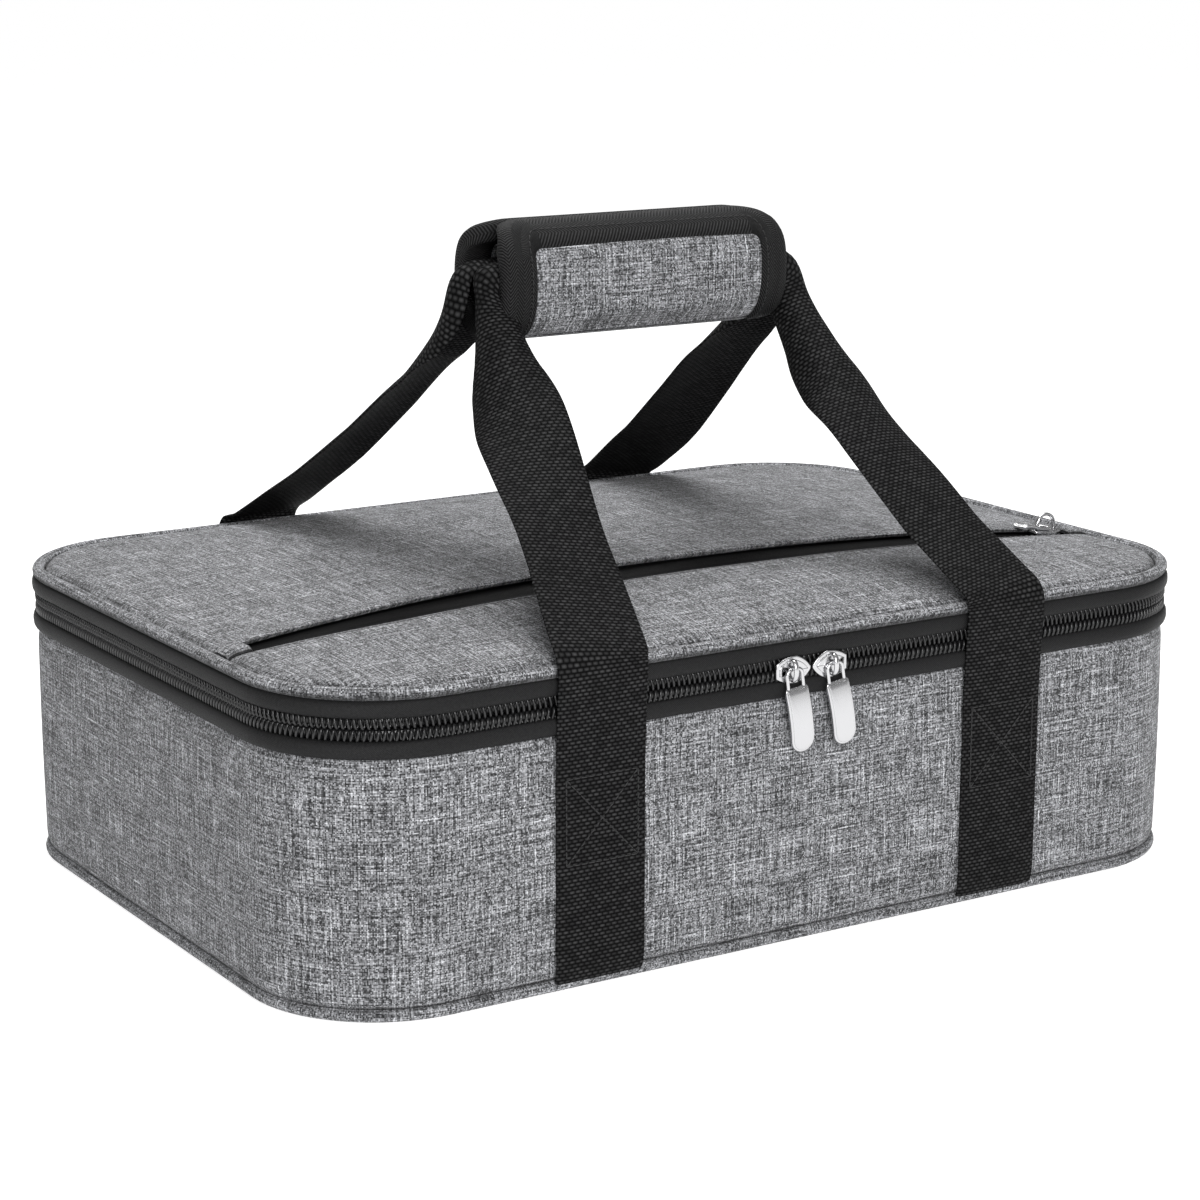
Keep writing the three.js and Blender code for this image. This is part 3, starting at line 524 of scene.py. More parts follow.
# name, colour, roughness, share of metal
COIL, _, _ = plain_material("nylon coil", (0.008, 0.008, 0.0085), 0.28)
CHROME, _, _ = plain_material("polished plate", (0.56, 0.56, 0.57), 0.22, 1.0)
FOAM, _, _ = plain_material("white foam", (0.75, 0.75, 0.72), 0.95)
BOARD, _, _ = plain_material("grey board", (0.2, 0.19, 0.17), 0.85)
THREAD, _, _ = plain_material("black thread", (0.013, 0.013, 0.0134), 0.7)
GREY_THREAD, _, _ = plain_material("grey thread", (0.12, 0.12, 0.125), 0.6)
FOIL, foil_tree, foil_shader = plain_material("silver film", (0.4, 0.41, 0.43), 0.34, 0.85)
foil_at = foil_tree.nodes.new("ShaderNodeTexCoord")
foil_split = foil_tree.nodes.new("ShaderNodeSeparateXYZ")
foil_tree.links.new(foil_at.outputs["Object"], foil_split.inputs[0])
crinkle = noise(foil_tree, *[calc(foil_tree, "MULTIPLY", foil_split.outputs[k], 90.0) for k in range(3)], 5.0)
add_bump(foil_tree, foil_shader, calc(foil_tree, "MULTIPLY", crinkle, 4.0), 0.6)
print("materials:", len(bpy.data.materials))

# %% [markdown]
# ## The wall
# One strip of linen wraps the foam. It tucks in at both seams and the padding makes it swell a little between them, so
# the strip's profile is rounded at the top and at the bottom and bows out by half a millimetre.


# %% Wall
def wall_profile():
    """Closed (offset, height) loop: outer face bowed by 0.5 sin(pi t), turned in at both seams, then the inner face."""
    t = np.concatenate([np.linspace(0, 0.1, 7), np.linspace(0.14, 0.86, 12), np.linspace(0.9, 1, 8)])
    low, high = WALL_LOW[2] - 0.5, WALL_HIGH[2] + 0.4
    bow = 0.5 * np.sin(np.pi * t)
    tuck_low = 1.3 * np.clip(1 - t / 0.05, 0, 1) ** 2
    tuck_high = 1.2 * np.clip(1 - (1 - t) / 0.07, 0, 1) ** 2
    outer = np.stack([bow - tuck_low - tuck_high, low + (high - low) * t], 1)
    inner = outer[::-1] - np.array([0.9, 0])
    return np.concatenate([outer, inner[::3]])


def ripple(along, height, size):
    """Slow swells of the padding: a few sine waves along the wall and up it, size millimetres high."""
    swell = np.sin(along / 61) * np.sin(height / 37 + 1) + 0.6 * np.sin(along / 23 + height / 29)
    return size * swell


profile = wall_profile()
rings = carried(profile, RIM_AT, RIM_OUT)
push = ripple(RIM_ALONG[:-1, None], profile[None, :, 1], 0.15)
rings[:, :, :2] += RIM_OUT[:, None, :] * push[:, :, None]
wall = make_piece("wall_cloth", *tube_parts(rings, RIM_ALONG, loop_length(profile), True))
dress(wall, LINEN, "grey_linen", "base", "outer_wall")

# %% [markdown]
# ## Pipings
# A piping is a cord inside a folded strip of linen, sewn into a seam. It is a round profile carried round the outline,
# once where the wall meets the bottom and once at the edge of the lid.


# %% Pipings
PIPING_SIDES = 24


def piping_profile(bounds, drop):
    """A circle 6 % wider than a solid piping is high, with the same outer reach, lowered by drop."""
    low, high = bounds
    radius = (high[2] - low[2]) / 2 * 1.06
    return oval(high[1] - HALF_DEPTH - radius, (low[2] + high[2]) / 2 - drop, radius, radius, 1.0, PIPING_SIDES)


def piping_shadow(depth):
    """Shadow round a piping's circle: its lower half lies over the band and turns dark from the middle downwards."""
    angle = np.linspace(0, 2 * np.pi, PIPING_SIDES, endpoint=False)
    return np.tile(depth * np.clip(0.35 - 2.2 * np.sin(angle), 0, 1), len(RIM_AT))


base_piping = rim_piece("bottom_piping_cloth", piping_profile(BASE_PIPING, 0.0))
dress(base_piping, LINEN, "grey_linen", "base", "bottom_piping")
lid_piping = rim_piece("lid_piping_cloth", piping_profile(LID_PIPING, 0.6), piping_shadow(0.9))
dress(lid_piping, LINEN, "grey_linen", "lid", "lid_piping")

# %% [markdown]
# ## Zip bands
# Each half of the zip is sewn to a padded black band that runs from the hinge round three sides and back to it. The
# bands are soft ovals carried along that open run.


# %% Zip bands
TAPE_END = box_mm("hinge_gusset")[1][0] + 0.3
TAPE_RUN = zip_outline(TAPE_END)


def run_parts(profile, run):
    """A closed profile carried along an open run of the outline."""
    at, out, along = run
    return tube_parts(carried(profile, at, out), along, loop_length(profile), False)


def band_piece(name, bounds):
    """An oval band between the heights of a solid zip tape, a little fuller than it."""
    low, high = bounds
    profile = oval(-0.2, (low[2] + high[2]) / 2, 2.1, (high[2] - low[2]) / 2 + 0.2, 0.85, 24)
    return make_piece(name, *run_parts(profile, TAPE_RUN))


dress(band_piece("lower_zip_band", LOWER_TAPE), TAPE, "black_tape", "base", "lower_zip_tape")
dress(band_piece("upper_zip_band", UPPER_TAPE), TAPE, "black_tape", "lid", "upper_zip_tape")

# %% [markdown]
# ## Coil
# A coil zip has no separate teeth: each row is one nylon thread wound into a flattened spiral and sewn to a tape. The
# two spirals turn opposite ways, half a turn apart, so that their loops slip between each other.

# %% Coil
COIL_PITCH = 2.3
COIL_WIRE = 0.6
COIL_DEEP, COIL_HIGH = 0.85, 2.1
COIL_RUN = zip_outline(TAPE_END + 4.3)


def along_run(run, distance, offset, height):
    """Points at distances along a run, moved outwards by offset and up to height."""
    at, out, along = run
    place = np.stack([np.interp(distance, along, at[:, k]) for k in (0, 1)], 1)
    aim = unit(np.stack([np.interp(distance, along, out[:, k]) for k in (0, 1)], 1))
    return np.column_stack([place + aim * np.asarray(offset)[:, None], height])


def wire_parts(path, radius, sides):
    """A round wire along a path: each ring stands square to the path, turned from the nearest upright."""
    tangent = unit(np.gradient(path, axis=0))
    upright = np.array([0.0, 0.0, 1.0]) - tangent * tangent[:, 2:]
    upright[np.linalg.norm(upright, axis=1) < 0.05] = np.array([1.0, 0.0, 0.0])
    upright = unit(upright)
    side = np.cross(tangent, upright)
    angle = np.linspace(0, 2 * np.pi, sides, endpoint=False)
    ring = upright[:, None] * np.cos(angle)[:, None] + side[:, None] * np.sin(angle)[:, None]
    rings = path[:, None] + radius * ring
    return tube_parts(rings, run_length(path), np.linspace(0, 2 * np.pi * radius, sides + 1), False)


def coil_piece(name, bounds, turn):
    """A flattened spiral, COIL_DEEP and COIL_HIGH each way round the row's middle, on a thin sewn tape."""
    middle = (bounds[0][2] + bounds[1][2]) / 2
    turns = int(COIL_RUN[2][-1] / COIL_PITCH) - 1
    count = np.arange(turns * 12 + 1) / 12
    distance = (count + (0.75 if turn > 0 else 0.25)) * COIL_PITCH
    angle = 2 * np.pi * count
    deep, high = -0.45 + COIL_DEEP * np.cos(angle), middle + turn * COIL_HIGH * np.sin(angle)
    path = along_run(COIL_RUN, distance, deep, high)
    sewn_tape = run_parts(oval(-1.7, middle, 0.4, 2.0, 0.5, 8), COIL_RUN)
    return make_piece(name, *merged(wire_parts(path, COIL_WIRE, 6), sewn_tape))


dress(coil_piece("lower_coil", LOWER_COIL, 1), COIL, "black_coil", "base", "lower_zip_coil")
dress(coil_piece("upper_coil", UPPER_COIL, -1), COIL, "black_coil", "lid", "upper_zip_coil")

# %% [markdown]
# ## Lid panels
# The lid is crowned by its foam. Its cloth is two panels, in front of and behind the pocket's zip. Each panel dips into
# the seam beside the piping and is folded under along the zip, which leaves a small lip.

# %% Lid panels
LID_FRONT = box_mm("lid_front_panel")
LID_BACK = box_mm("lid_back_panel")
LID_X, LID_Y = LID_BACK[1][0], LID_BACK[1][1]
LID_CORNER = CORNER - (HALF_LENGTH - LID_X)
PIPING_MIDDLE = (LID_PIPING[0][2] + LID_PIPING[1][2]) / 2
CROWN = LID_BACK[1][2] - LID_PIPING[0][2] - 3.1
LID_CLOTH = 1.1
SLIT_HALF, SLIT_LINE, SLIT_LEAN, SLIT_GAPE = 193, -61.5, 1.7, 12.0


def crown(x, y):
    """Height of the arched lid over its edge: crown (1 - (x / half length)^2) (1 - (y / half depth)^4)."""
    return CROWN * np.clip(1 - (x / LID_X) ** 2, 0, 1) * np.clip(1 - (np.abs(y) / LID_Y) ** 4, 0, 1)


def edge_distance(x, y, half_x, half_y, radius):
    """Distance inwards from the edge of a rectangle with round corners."""
    qx, qy = np.abs(x) - (half_x - radius), np.abs(y) - (half_y - radius)
    outside = np.hypot(np.clip(qx, 0, None), np.clip(qy, 0, None))
    return radius - outside - np.minimum(np.maximum(qx, qy), 0)


def half_width(y, half_x, half_y, radius):
    """Half the width, at y, of a rectangle with round corners."""
    over = np.clip(np.abs(y) - (half_y - radius), 0, radius)
    return half_x - radius + np.sqrt(radius**2 - over**2)


def spread(count):
    """Shares from -1 to 1, closer together towards both ends."""
    t = np.linspace(-1, 1, count)
    return 0.5 * t + 0.5 * np.sin(t * np.pi / 2)


def rounded_rows(y, half_x, half_y, radius, columns):
    """Grid of x and y: a row at each y, spread over the width that a rectangle with round corners has there."""
    return half_width(y, half_x, half_y, radius)[:, None] * spread(columns), np.repeat(y[:, None], columns, 1)


def lid_height(x, y):
    """Top of the lid's cloth: crowned, puffed up 1.3 mm inside the seam, and dipped 2.2 mm at the piping."""
    d = edge_distance(x, y, LID_X, LID_Y, LID_CORNER)
    swell = 0.12 * np.sin(x / 31 + 0.7) * np.sin(y / 23) + 0.08 * np.sin(x / 13 + y / 17)
    seam = 1.3 * (1 - np.exp(-d / 3.5)) - 2.2 * np.exp(-d / 1.2)
    return PIPING_MIDDLE + 0.6 + crown(x, y) + seam + swell


def eased(low, high, count):
    """Values from low to high, closer together towards both ends."""
    t = np.linspace(0, 1, count)
    return low + (high - low) * (0.55 * t + 0.45 * (1 - np.cos(np.pi * t)) / 2)


def front_lip(x):
    """The front panel's folded edge: a straight line along the slit."""
    return LID_FRONT[1][1] + 0.3 + 0 * x


def back_lip(x):
    """The back panel's folded edge: it gapes by SLIT_GAPE (1 - |share|^3) and closes on the zip towards the ends."""
    share = np.clip(x / SLIT_HALF, -1, 1)
    return SLIT_LINE - SLIT_LEAN * share + SLIT_GAPE * (1 - np.abs(share) ** 3)


def panel_piece(name, share, lip_at, edge_y, lip_rise):
    """A lid panel in rows from its seam (share 0) to its folded lip (share 1): the lid's height, a soft rise towards
    the lip and a quick turn down at it."""
    across = np.repeat(spread(100)[None, :], len(share), 0)
    rows = edge_y + (lip_at(across * LID_X) - edge_y) * share[:, None]
    x = across * half_width(rows, LID_X, LID_Y, LID_CORNER)
    lip = np.abs(rows - lip_at(across * LID_X))
    height = lid_height(x, rows) + lip_rise * np.exp(-((lip / 3.4) ** 2)) - 1.1 * np.exp(-lip / 0.5)
    top = np.stack([x, rows, height], 2)
    # painted shade: the colour darkens in a narrow line along the seam at the piping and fully underneath, which
    # darkens the folded lip's edge
    seam = np.exp(-((edge_distance(x, rows, LID_X, LID_Y, LID_CORNER) / 1.7) ** 2))
    return slab_piece(name, top, LID_CLOTH, np.concatenate([seam.ravel(), np.ones(x.size)]))


front_panel = panel_piece("lid_front_cloth", eased(0, 1, 36), front_lip, -LID_Y, -0.7)
dress(front_panel, LINEN, "grey_linen", "lid", "lid_front_panel")
back_panel = panel_piece("lid_back_cloth", eased(0, 1, 64), back_lip, LID_Y, 1.2)
dress(back_panel, LINEN, "grey_linen", "lid", "lid_back_panel")

# %% [markdown]
# ## Pocket zip
# The pocket closes with two black tapes that meet in a groove. A folded scrap of linen covers each end of the zip.

# %% Pocket zip
SLIT_FRONT, SLIT_BACK = LID_FRONT[1][1], LID_BACK[0][1]
FRONT_TAPE, BACK_TAPE = box_mm("pocket_front_tape"), box_mm("pocket_back_tape")
ZIP_LINE = (FRONT_TAPE[1][1] + BACK_TAPE[0][1]) / 2
POCKET_END = FRONT_TAPE[1][0]


def tape_piece(name, y_from, y_to):
    """A tape along the slit: it follows the crown under the lid's cloth and sinks 0.5 mm towards the groove."""
    y, x = lattice(np.linspace(y_from, y_to, 9), np.linspace(-POCKET_END - 3, POCKET_END + 3, 80))
    height = PIPING_MIDDLE - 0.1 + crown(x, y) - 0.5 * np.exp(-np.abs(y - ZIP_LINE) / 0.6)
    return slab_piece(name, np.stack([x, y, height], 2), 0.8)


front_band = tape_piece("pocket_front_band", SLIT_FRONT - 1.5, ZIP_LINE - 0.15)
dress(front_band, POCKET_TAPE, "black_tape", "lid", "pocket_front_tape")
back_band = tape_piece("pocket_back_band", ZIP_LINE + 0.15, SLIT_BACK + 5)
dress(back_band, POCKET_TAPE, "black_tape", "lid", "pocket_back_tape")


def end_tab(name, side, node):
    """A folded scrap from the inner edge of its solid to the seam: raised 1.5 mm, rounded down at its free edges."""
    share_y, share_x = lattice(np.linspace(-1, 1, 14), np.linspace(0, 1, 16))
    inner = np.abs([corner[0] for corner in box_mm(node)]).min()
    x = side * (inner + (LID_X - 0.8 - inner) * share_x)
    y = ZIP_LINE + 5.6 * share_y
    fold = 1 - np.clip(1 - share_x / 0.12, 0, 1) ** 2 - 0.9 * np.abs(share_y) ** 8
    top = np.stack([x, y, lid_height(x, y) + 0.3 + 1.2 * fold], 2)
    # painted shade: the colour darkens where the scrap rounds down at its free edges, and fully underneath
    return slab_piece(name, top, 1.0, np.concatenate([np.clip(1.1 - 1.4 * fold, 0, 1).ravel(), np.ones(x.size)]))


for side, sign in (("left", -1), ("right", 1)):
    node = "pocket_end_tab_" + side
    dress(end_tab(side + "_end_tab", sign, node), LINEN, "grey_linen", "lid", node)

# %% [markdown]
# ## Inside
# The open lid shows a silvered film over the foam, turned over at the rim under a black binding. The same film lines
# the tub: its floor and its walls are one profile carried round the outline.

# %% Lid lining and bindings
def ring_profile(node, half_width):
    """A soft flat oval at the outer edge of a ring-shaped solid piece, as high as it and half_width wide each way."""
    low, high = box_mm(node)
    outer = high[1] - HALF_DEPTH
    return oval(outer - half_width, (low[2] + high[2]) / 2, half_width, (high[2] - low[2]) / 2 + 0.1, 0.6, 16)


for body, half_width_of_tape in (("lid", 2.5), ("base", 3.2)):
    node = body + "_rim_binding"
    dress(rim_piece(body + "_rim_tape", ring_profile(node, half_width_of_tape)), TAPE, "black_tape", body, node)

LINING_LOW = box_mm("lid_lining")[0][2]
x, y = rounded_rows(eased(-LID_Y, LID_Y, 60), LID_X, LID_Y, LID_CORNER, 80)
under = np.stack([x, y, LINING_LOW + crown(x, y)], 2)
lid_film = make_piece("lid_film", *sheet_parts(under + np.array([0, 0, 0.6]), under, under[:, :, :2]))
dress(lid_film, FOIL, "foil_lining", "lid", "lid_lining")

# %% Tub lining
def tub_parts():
    """Rings (scale, offset, height): the floor from its middle outwards, a round turn, the wall, then back outside."""
    low, high = box_mm("lining_tub")
    outer = high[1] - HALF_DEPTH
    turn = np.linspace(0, np.pi / 2, 7)
    floor = [(s, outer - 6.6, low[2] + 0.6) for s in (0.02, 0.3, 0.6, 0.85)]
    corner = [(1.0, outer - 6.6 + 6 * np.sin(a), low[2] + 6.6 - 6 * np.cos(a)) for a in turn]
    wall_in = [(1.0, outer - 0.6, h) for h in np.linspace(low[2] + 14, high[2], 9)]
    wall_out = [(1.0, outer, h) for h in np.linspace(high[2], low[2], 6)]
    back = [(s, outer, low[2]) for s in (0.7, 0.3, 0.02)]
    rows = np.array(floor + corner + wall_in + wall_out + back)
    place = (RIM_AT[None] + RIM_OUT[None] * rows[:, None, 1:2]) * rows[:, None, :1]
    rings = np.concatenate([place, np.repeat(rows[:, None, 2:], len(RIM_AT), 1)], 2)
    return tube_parts(rings, run_length(rings[:, 0]), RIM_ALONG, False)


tub = make_piece("tub_film", *tub_parts())
dress(tub, FOIL, "foil_lining", "base", "lining_tub")

# %% Bottom panel and hidden layers
half_x, half_y, _ = box_mm("bottom_panel")[1]
radius = CORNER - (HALF_LENGTH - half_x)
x, y = rounded_rows(eased(-half_y, half_y, 30), half_x, half_y, radius, 40)
under = np.stack([x, y, 0.9 * np.exp(-edge_distance(x, y, half_x, half_y, radius) / 1.5)], 2)
bottom = make_piece("bottom_cloth", *sheet_parts(under + np.array([0, 0, 1.2]), under, under[:, :, :2]))
dress(bottom, LINEN, "grey_linen", "base", "bottom_panel")
for material, nodes in (
    (FOAM, ("wall_foam", "bottom_foam", "lid_foam")), (BOARD, ("bottom_board",)), (THREAD, ("pocket_lining",)),
    (CHROME, ("zip_stop_left", "zip_stop_right")),
):
    for node in nodes:
        mesh = frame["nodes"][node].data
        mesh.materials.clear()
        mesh.materials.append(material)

# %% [markdown]
# ## Hinge
# At the back the zip stops and a plain strip of tape joins lid and base. It is the hinge. The points where its cloth
# would bend, with its lower edge on the base and its upper edge on the lid, are given with it; the strip stays in
# place.

# %% Hinge strip
low, high = box_mm("hinge_gusset")
x, z = lattice(np.linspace(low[0], high[0], 60), np.linspace(low[2] - 0.3, high[2] + 0.3, 24))
bulge = 0.5 * np.sin(np.pi * (z - low[2]) / (high[2] - low[2]))
outside = np.stack([x, high[1] + bulge, z], 2)
gusset = make_piece("hinge_strip", *sheet_parts(outside, outside - np.array([0, 1.0, 0]), np.stack([x, z], 2)))
HINGE_FROM, HINGE_TO = 0.101, 0.118
bend = ("base", "lid", (0, high[1] / 1000, HINGE_FROM), (0, high[1] / 1000, HINGE_TO))
dress(gusset, TAPE, "black_tape", bend, "hinge_gusset")

# %% [markdown]
# ## Sliders and pulls
# Zip hardware is die cast and plated, so no edge is sharp. A plate is a stack of outlines: the lowest and the highest
# are drawn in, which rounds the edge. Every part is made flat, with its pull hanging along the second axis, and then
# turned onto the front or onto the lid.


# %% Flat hardware
def inset(outline, distance):
    """A counter-clockwise outline moved inwards along the mean direction of its two edges at each point."""
    edge = np.roll(outline, -1, 0) - outline
    normal = unit(np.stack([edge[:, 1], -edge[:, 0]], 1))
    return outline - unit(normal + np.roll(normal, 1, 0)) * distance


def plate_parts(outline, low, high, edge):
    """A plate between two heights with quarter-round edges, inset edge (1 - sin a) at edge (1 - cos a) from each face.
    Both faces close in rings towards their middle."""
    turn = np.linspace(0, np.pi / 2, 5)
    rise = [(inset(outline, edge * (1 - np.sin(a))), low + edge * (1 - np.cos(a))) for a in turn]
    middle = rise[0][0].mean(0)
    under = [(middle + (rise[0][0] - middle) * s, low) for s in (0.004, 0.3, 0.6, 0.85)]
    upper = [(loop, low + high - height) for loop, height in rise[::-1]]
    top = [(loop, high) for loop, _ in under[::-1]]
    loops = under + rise + upper + top
    rings = np.stack([np.column_stack([loop, np.full(len(loop), height)]) for loop, height in loops])
    return tube_parts(rings, np.linspace(0, high - low, len(loops)), loop_length(outline), False)


def even_outline(corners, step):
    """A closed outline through corner points, with a point about every step, so that edges keep their shape."""
    points = []
    for start, end in zip(corners, np.roll(corners, -1, 0)):
        count = max(1, int(np.linalg.norm(end - start) / step))
        points += [start + (end - start) * k / count for k in range(count)]
    return np.array(points)


def curve(start, lean, end):
    """Nine points from start to end that lean to a third one: (1 - t)^2 start + 2 t (1 - t) lean + t^2 end."""
    t = np.linspace(0, 1, 9)[:, None]
    return (1 - t) ** 2 * np.array(start) + 2 * t * (1 - t) * np.array(lean) + t**2 * np.array(end)


def shield(width):
    """Slider outline with its nose at +X: straight shoulders, sides that curve in towards the tail."""
    half = width / 2
    side = curve((-7, half / 2), (-3.5, half), (2.3, half))
    nose = curve((2.3, half), (6.6, half * 0.75), (8.9, 0.5))
    upper = np.concatenate([side, nose[1:]])
    lower = upper[::-1] * np.array([1, -1])
    return np.concatenate([lower, upper])


def turned(points, angle):
    """Points turned about the third axis."""
    c, s = math.cos(angle), math.sin(angle)
    x, y, z = np.asarray(points).T
    return np.column_stack([c * x - s * y, s * x + c * y, z])


def slider_parts(width, chain, turn, arch):
    """Outer plate with a raised middle, web, inner plate, and an arch that holds the pull."""
    outline = shield(width)
    outline = outline if outward_area(outline) > 0 else outline[::-1]
    outer = plate_parts(outline, 0.3, 1.9, 0.5)
    pad = plate_parts(inset(outline, 1.6), 1.7, 2.35, 0.3)
    inner = plate_parts(outline, -chain - 1.2, -chain - 0.3, 0.3)
    web_outline = even_outline(np.array([[-3, -0.3], [4.5, -0.3], [4.5, 0.3], [-3, 0.3]]), 1.0)
    web = plate_parts(web_outline, -chain - 0.6, 0.6, 0.05)
    flat = [(turned(points, turn), faces, cloth) for points, faces, cloth in (outer, pad, inner, web)]
    angle = np.linspace(0, np.pi, 25)
    reach, top = arch
    bow = np.column_stack([0 * angle, -reach * np.cos(angle), 1.2 + (top - 1.2) * np.abs(np.sin(angle)) ** 0.55])
    rod = wire_parts(bow, 0.75, 10)
    stretched = rod[0] * np.array([1.5, 1, 1])
    return merged(*flat, (stretched, rod[1], rod[2]))


def outward_area(outline):
    """Signed area of an outline, positive if it runs counter-clockwise."""
    x, y = outline.T
    return np.sum(x * np.roll(y, -1) - np.roll(x, -1) * y) / 2


ROD_HALF, TAB_TOP = 3.5, 7.3


def pull_parts(length, half_width):
    """A rod bent into an arch on top, and below it a bowed tab with a round end and a raised face."""
    angle = np.linspace(np.pi, 0, 19)
    arch = np.column_stack([ROD_HALF * np.cos(angle), -2.6 + 2.6 * np.sin(angle) ** 0.8, 0 * angle])
    down = np.linspace(-8.4, -3.2, 6)
    left = np.column_stack([np.full(6, -ROD_HALF), down, np.zeros(6)])
    right = left[::-1] * np.array([-1, 1, 1])
    frame_rod = wire_parts(np.concatenate([left, arch, right]), 0.8, 10)
    end = -length + 0.8 + half_width
    sweep = np.linspace(np.pi, 2 * np.pi, 21)
    bottom = np.column_stack([half_width * np.cos(sweep), end + half_width * np.sin(sweep)])
    top = np.array([[half_width, -8.0], [4.5, -TAB_TOP], [-4.5, -TAB_TOP], [-half_width, -8.0]])
    outline = even_outline(np.concatenate([bottom, top]), 1.2)
    tab = plate_parts(outline, -0.8, 0.8, 0.45)
    face = plate_parts(inset(outline, 0.9), 0.6, 1.0, 0.18)
    middle, half = (-TAB_TOP - length) / 2, (length - TAB_TOP) / 2
    for points, _, _ in (tab, face):
        points[:, 2] += 1.3 * (1 - ((points[:, 1] - middle) / half) ** 2)
    return merged(frame_rod, tab, face)


print("slider outline:", len(shield(10.8)), "points")

# %% Placed hardware
JOINTS = {joint["name"]: np.array(joint.get("pos_m", (0, 0, 0))) * 1000 for joint in frame["joints"]}
AXES = {joint["name"]: joint["axis"] for joint in frame["joints"]}
CHAIN_FACE = LOWER_COIL[0][1]


def on_front(points, x):
    """Flat hardware to the front: first axis to the right, second up, third out of the front."""
    a, b, c = np.asarray(points).T
    return np.column_stack([x + a, CHAIN_FACE - c, PARTING + b])


def place_hardware(name, parts, move, body):
    """Flat parts moved into place as one plated piece, for the solid that has its body's name."""
    points, faces, cloth = parts
    piece = make_piece(name, move(points), *facing_out(move(points), faces, cloth))
    dress(piece, CHROME, "chrome", body, body)


for side, turn in (("left", 0.0), ("right", math.pi)):
    axis = JOINTS[side + "_pull_flip"]
    tilt = math.asin(-AXES[side + "_pull_flip"][2])
    x0, lift, out = axis[0], axis[2] - PARTING, CHAIN_FACE - axis[1]
    slider = slider_parts(width=10.8, chain=2.6, turn=turn, arch=(3.9, 4.9))
    place_hardware(side + "_zip_slider", slider, lambda p: on_front(p, x0), side + "_slider")
    hang = lambda p: on_front(turned(p, tilt) + np.array([0, lift, out]), x0)
    place_hardware(side + "_zip_pull", pull_parts(length=34, half_width=5.2), hang, side + "_pull")

POCKET_AXIS = JOINTS["pocket_pull_flip"]
SLOPE = math.asin(POCKET_AXIS[0] / (POCKET_AXIS[2] - JOINTS["pocket_slider_run"][2]))


def on_lid(points, lift):
    """Flat hardware to the lid: pull along -X, third axis up, all tilted with the lid's arch about the pull's bar."""
    a, b, c = np.asarray(points).T
    along, up = b + lift[0], c + lift[1]
    x = POCKET_AXIS[0] + along * math.cos(SLOPE) + up * math.sin(SLOPE)
    z = POCKET_AXIS[2] - along * math.sin(SLOPE) + up * math.cos(SLOPE)
    return np.column_stack([x, POCKET_AXIS[1] - a, z])


pocket_slider = slider_parts(width=7.8, chain=1.0, turn=math.pi / 2, arch=(4.9, 9.0))
place_hardware("pocket_zip_slider", pocket_slider, lambda p: on_lid(p, (-0.8, -3.1)), "pocket_slider")
pocket_pull = pull_parts(length=18, half_width=4.4)
place_hardware("pocket_zip_pull", pocket_pull, lambda p: on_lid(p, (0.0, 0.0)), "pocket_pull")

# %% [markdown]
# ## Webbing handles
# Each handle is one length of webbing. It starts in the bottom seam, is sewn to the wall, bends over the edge of the
# lid and runs to the grip. There it folds lengthwise and turns its inner edge back, so that it slips into the padded
# tube, and it comes down on the other side by the same route, with folds of its own.


# %% Strap paths
def smooth_path(points, window, step):
    """A path through points: straight at half-millimetre steps, averaged under a cosine window, then spaced by step."""
    points = np.asarray(points, float)
    length = run_length(points)
    dense = np.stack([np.interp(np.arange(0, length[-1], 0.5), length, points[:, k]) for k in range(3)], 1)
    half = int(window)
    weight = np.hanning(2 * half + 3)[1:-1]
    before, after = 2 * dense[0] - dense[half:0:-1], 2 * dense[-1] - dense[-2 : -half - 2 : -1]
    ends = np.concatenate([before, dense, after])
    smooth = np.stack([np.convolve(ends[:, k], weight / weight.sum(), "valid") for k in range(3)], 1)
    along = run_length(smooth)
    even = np.linspace(0, along[-1], int(along[-1] / step) + 1)
    return np.stack([np.interp(even, along, smooth[:, k]) for k in range(3)], 1), even


def ease(value, low, high):
    """0 below low, 1 above high, and a smooth rise between them."""
    t = np.clip((value - low) / (high - low), 0, 1)
    return t * t * (3 - 2 * t)


ANCHOR = box_mm("back_left_strap_anchor")
STRAP_HALF = (ANCHOR[1][0] - ANCHOR[0][0]) / 2
STRAP_X = -(ANCHOR[1][0] + ANCHOR[0][0]) / 2
SEWN_TOP = ANCHOR[1][2]
WALL_ROUTE = [
    (STRAP_X, 147.3, 3.6), (STRAP_X, 148.6, 7.5), (STRAP_X, 148.8, SEWN_TOP), (STRAP_X, 149.3, 96),
    (STRAP_X, 149.8, 109), (STRAP_X, 151.0, 122), (STRAP_X, 149.9, 127),
]
FRONT_ROUTE = [(86.1, 118.5, 150.2), (80.1, 83.9, 180.0), (74.6, 51.2, 210.3), (74.0, 36.3, 227.4), (73.0, 30.4, 236.2)]
BACK_ROUTE = [
    (93.2, 141.5, 131.2), (90.5, 118, 145.5), (86.8, 94, 159.5), (80.0, 54, 185.5), (74.9, 16.5, 212),
    (74.0, 3.0, 227.4), (73.0, -1.6, 236.2),
]


TURN = 9.8


def into_grip(entry):
    """A quarter turn from the entry point to the grip's axis, and on to its middle."""
    x, y, z = entry
    angle = np.linspace(0.2, np.pi / 2, 6)
    turn = [(x - TURN + TURN * math.cos(a), y, z + TURN * math.sin(a)) for a in angle]
    return turn + [(30, y, z + TURN), (0, y, z + TURN)]


# %% Strap surfaces
STRAP_THICK = 1.6
GRIP_BEND = 2.5
BLUR = np.hanning(27)[1:-1] / np.hanning(27).sum()


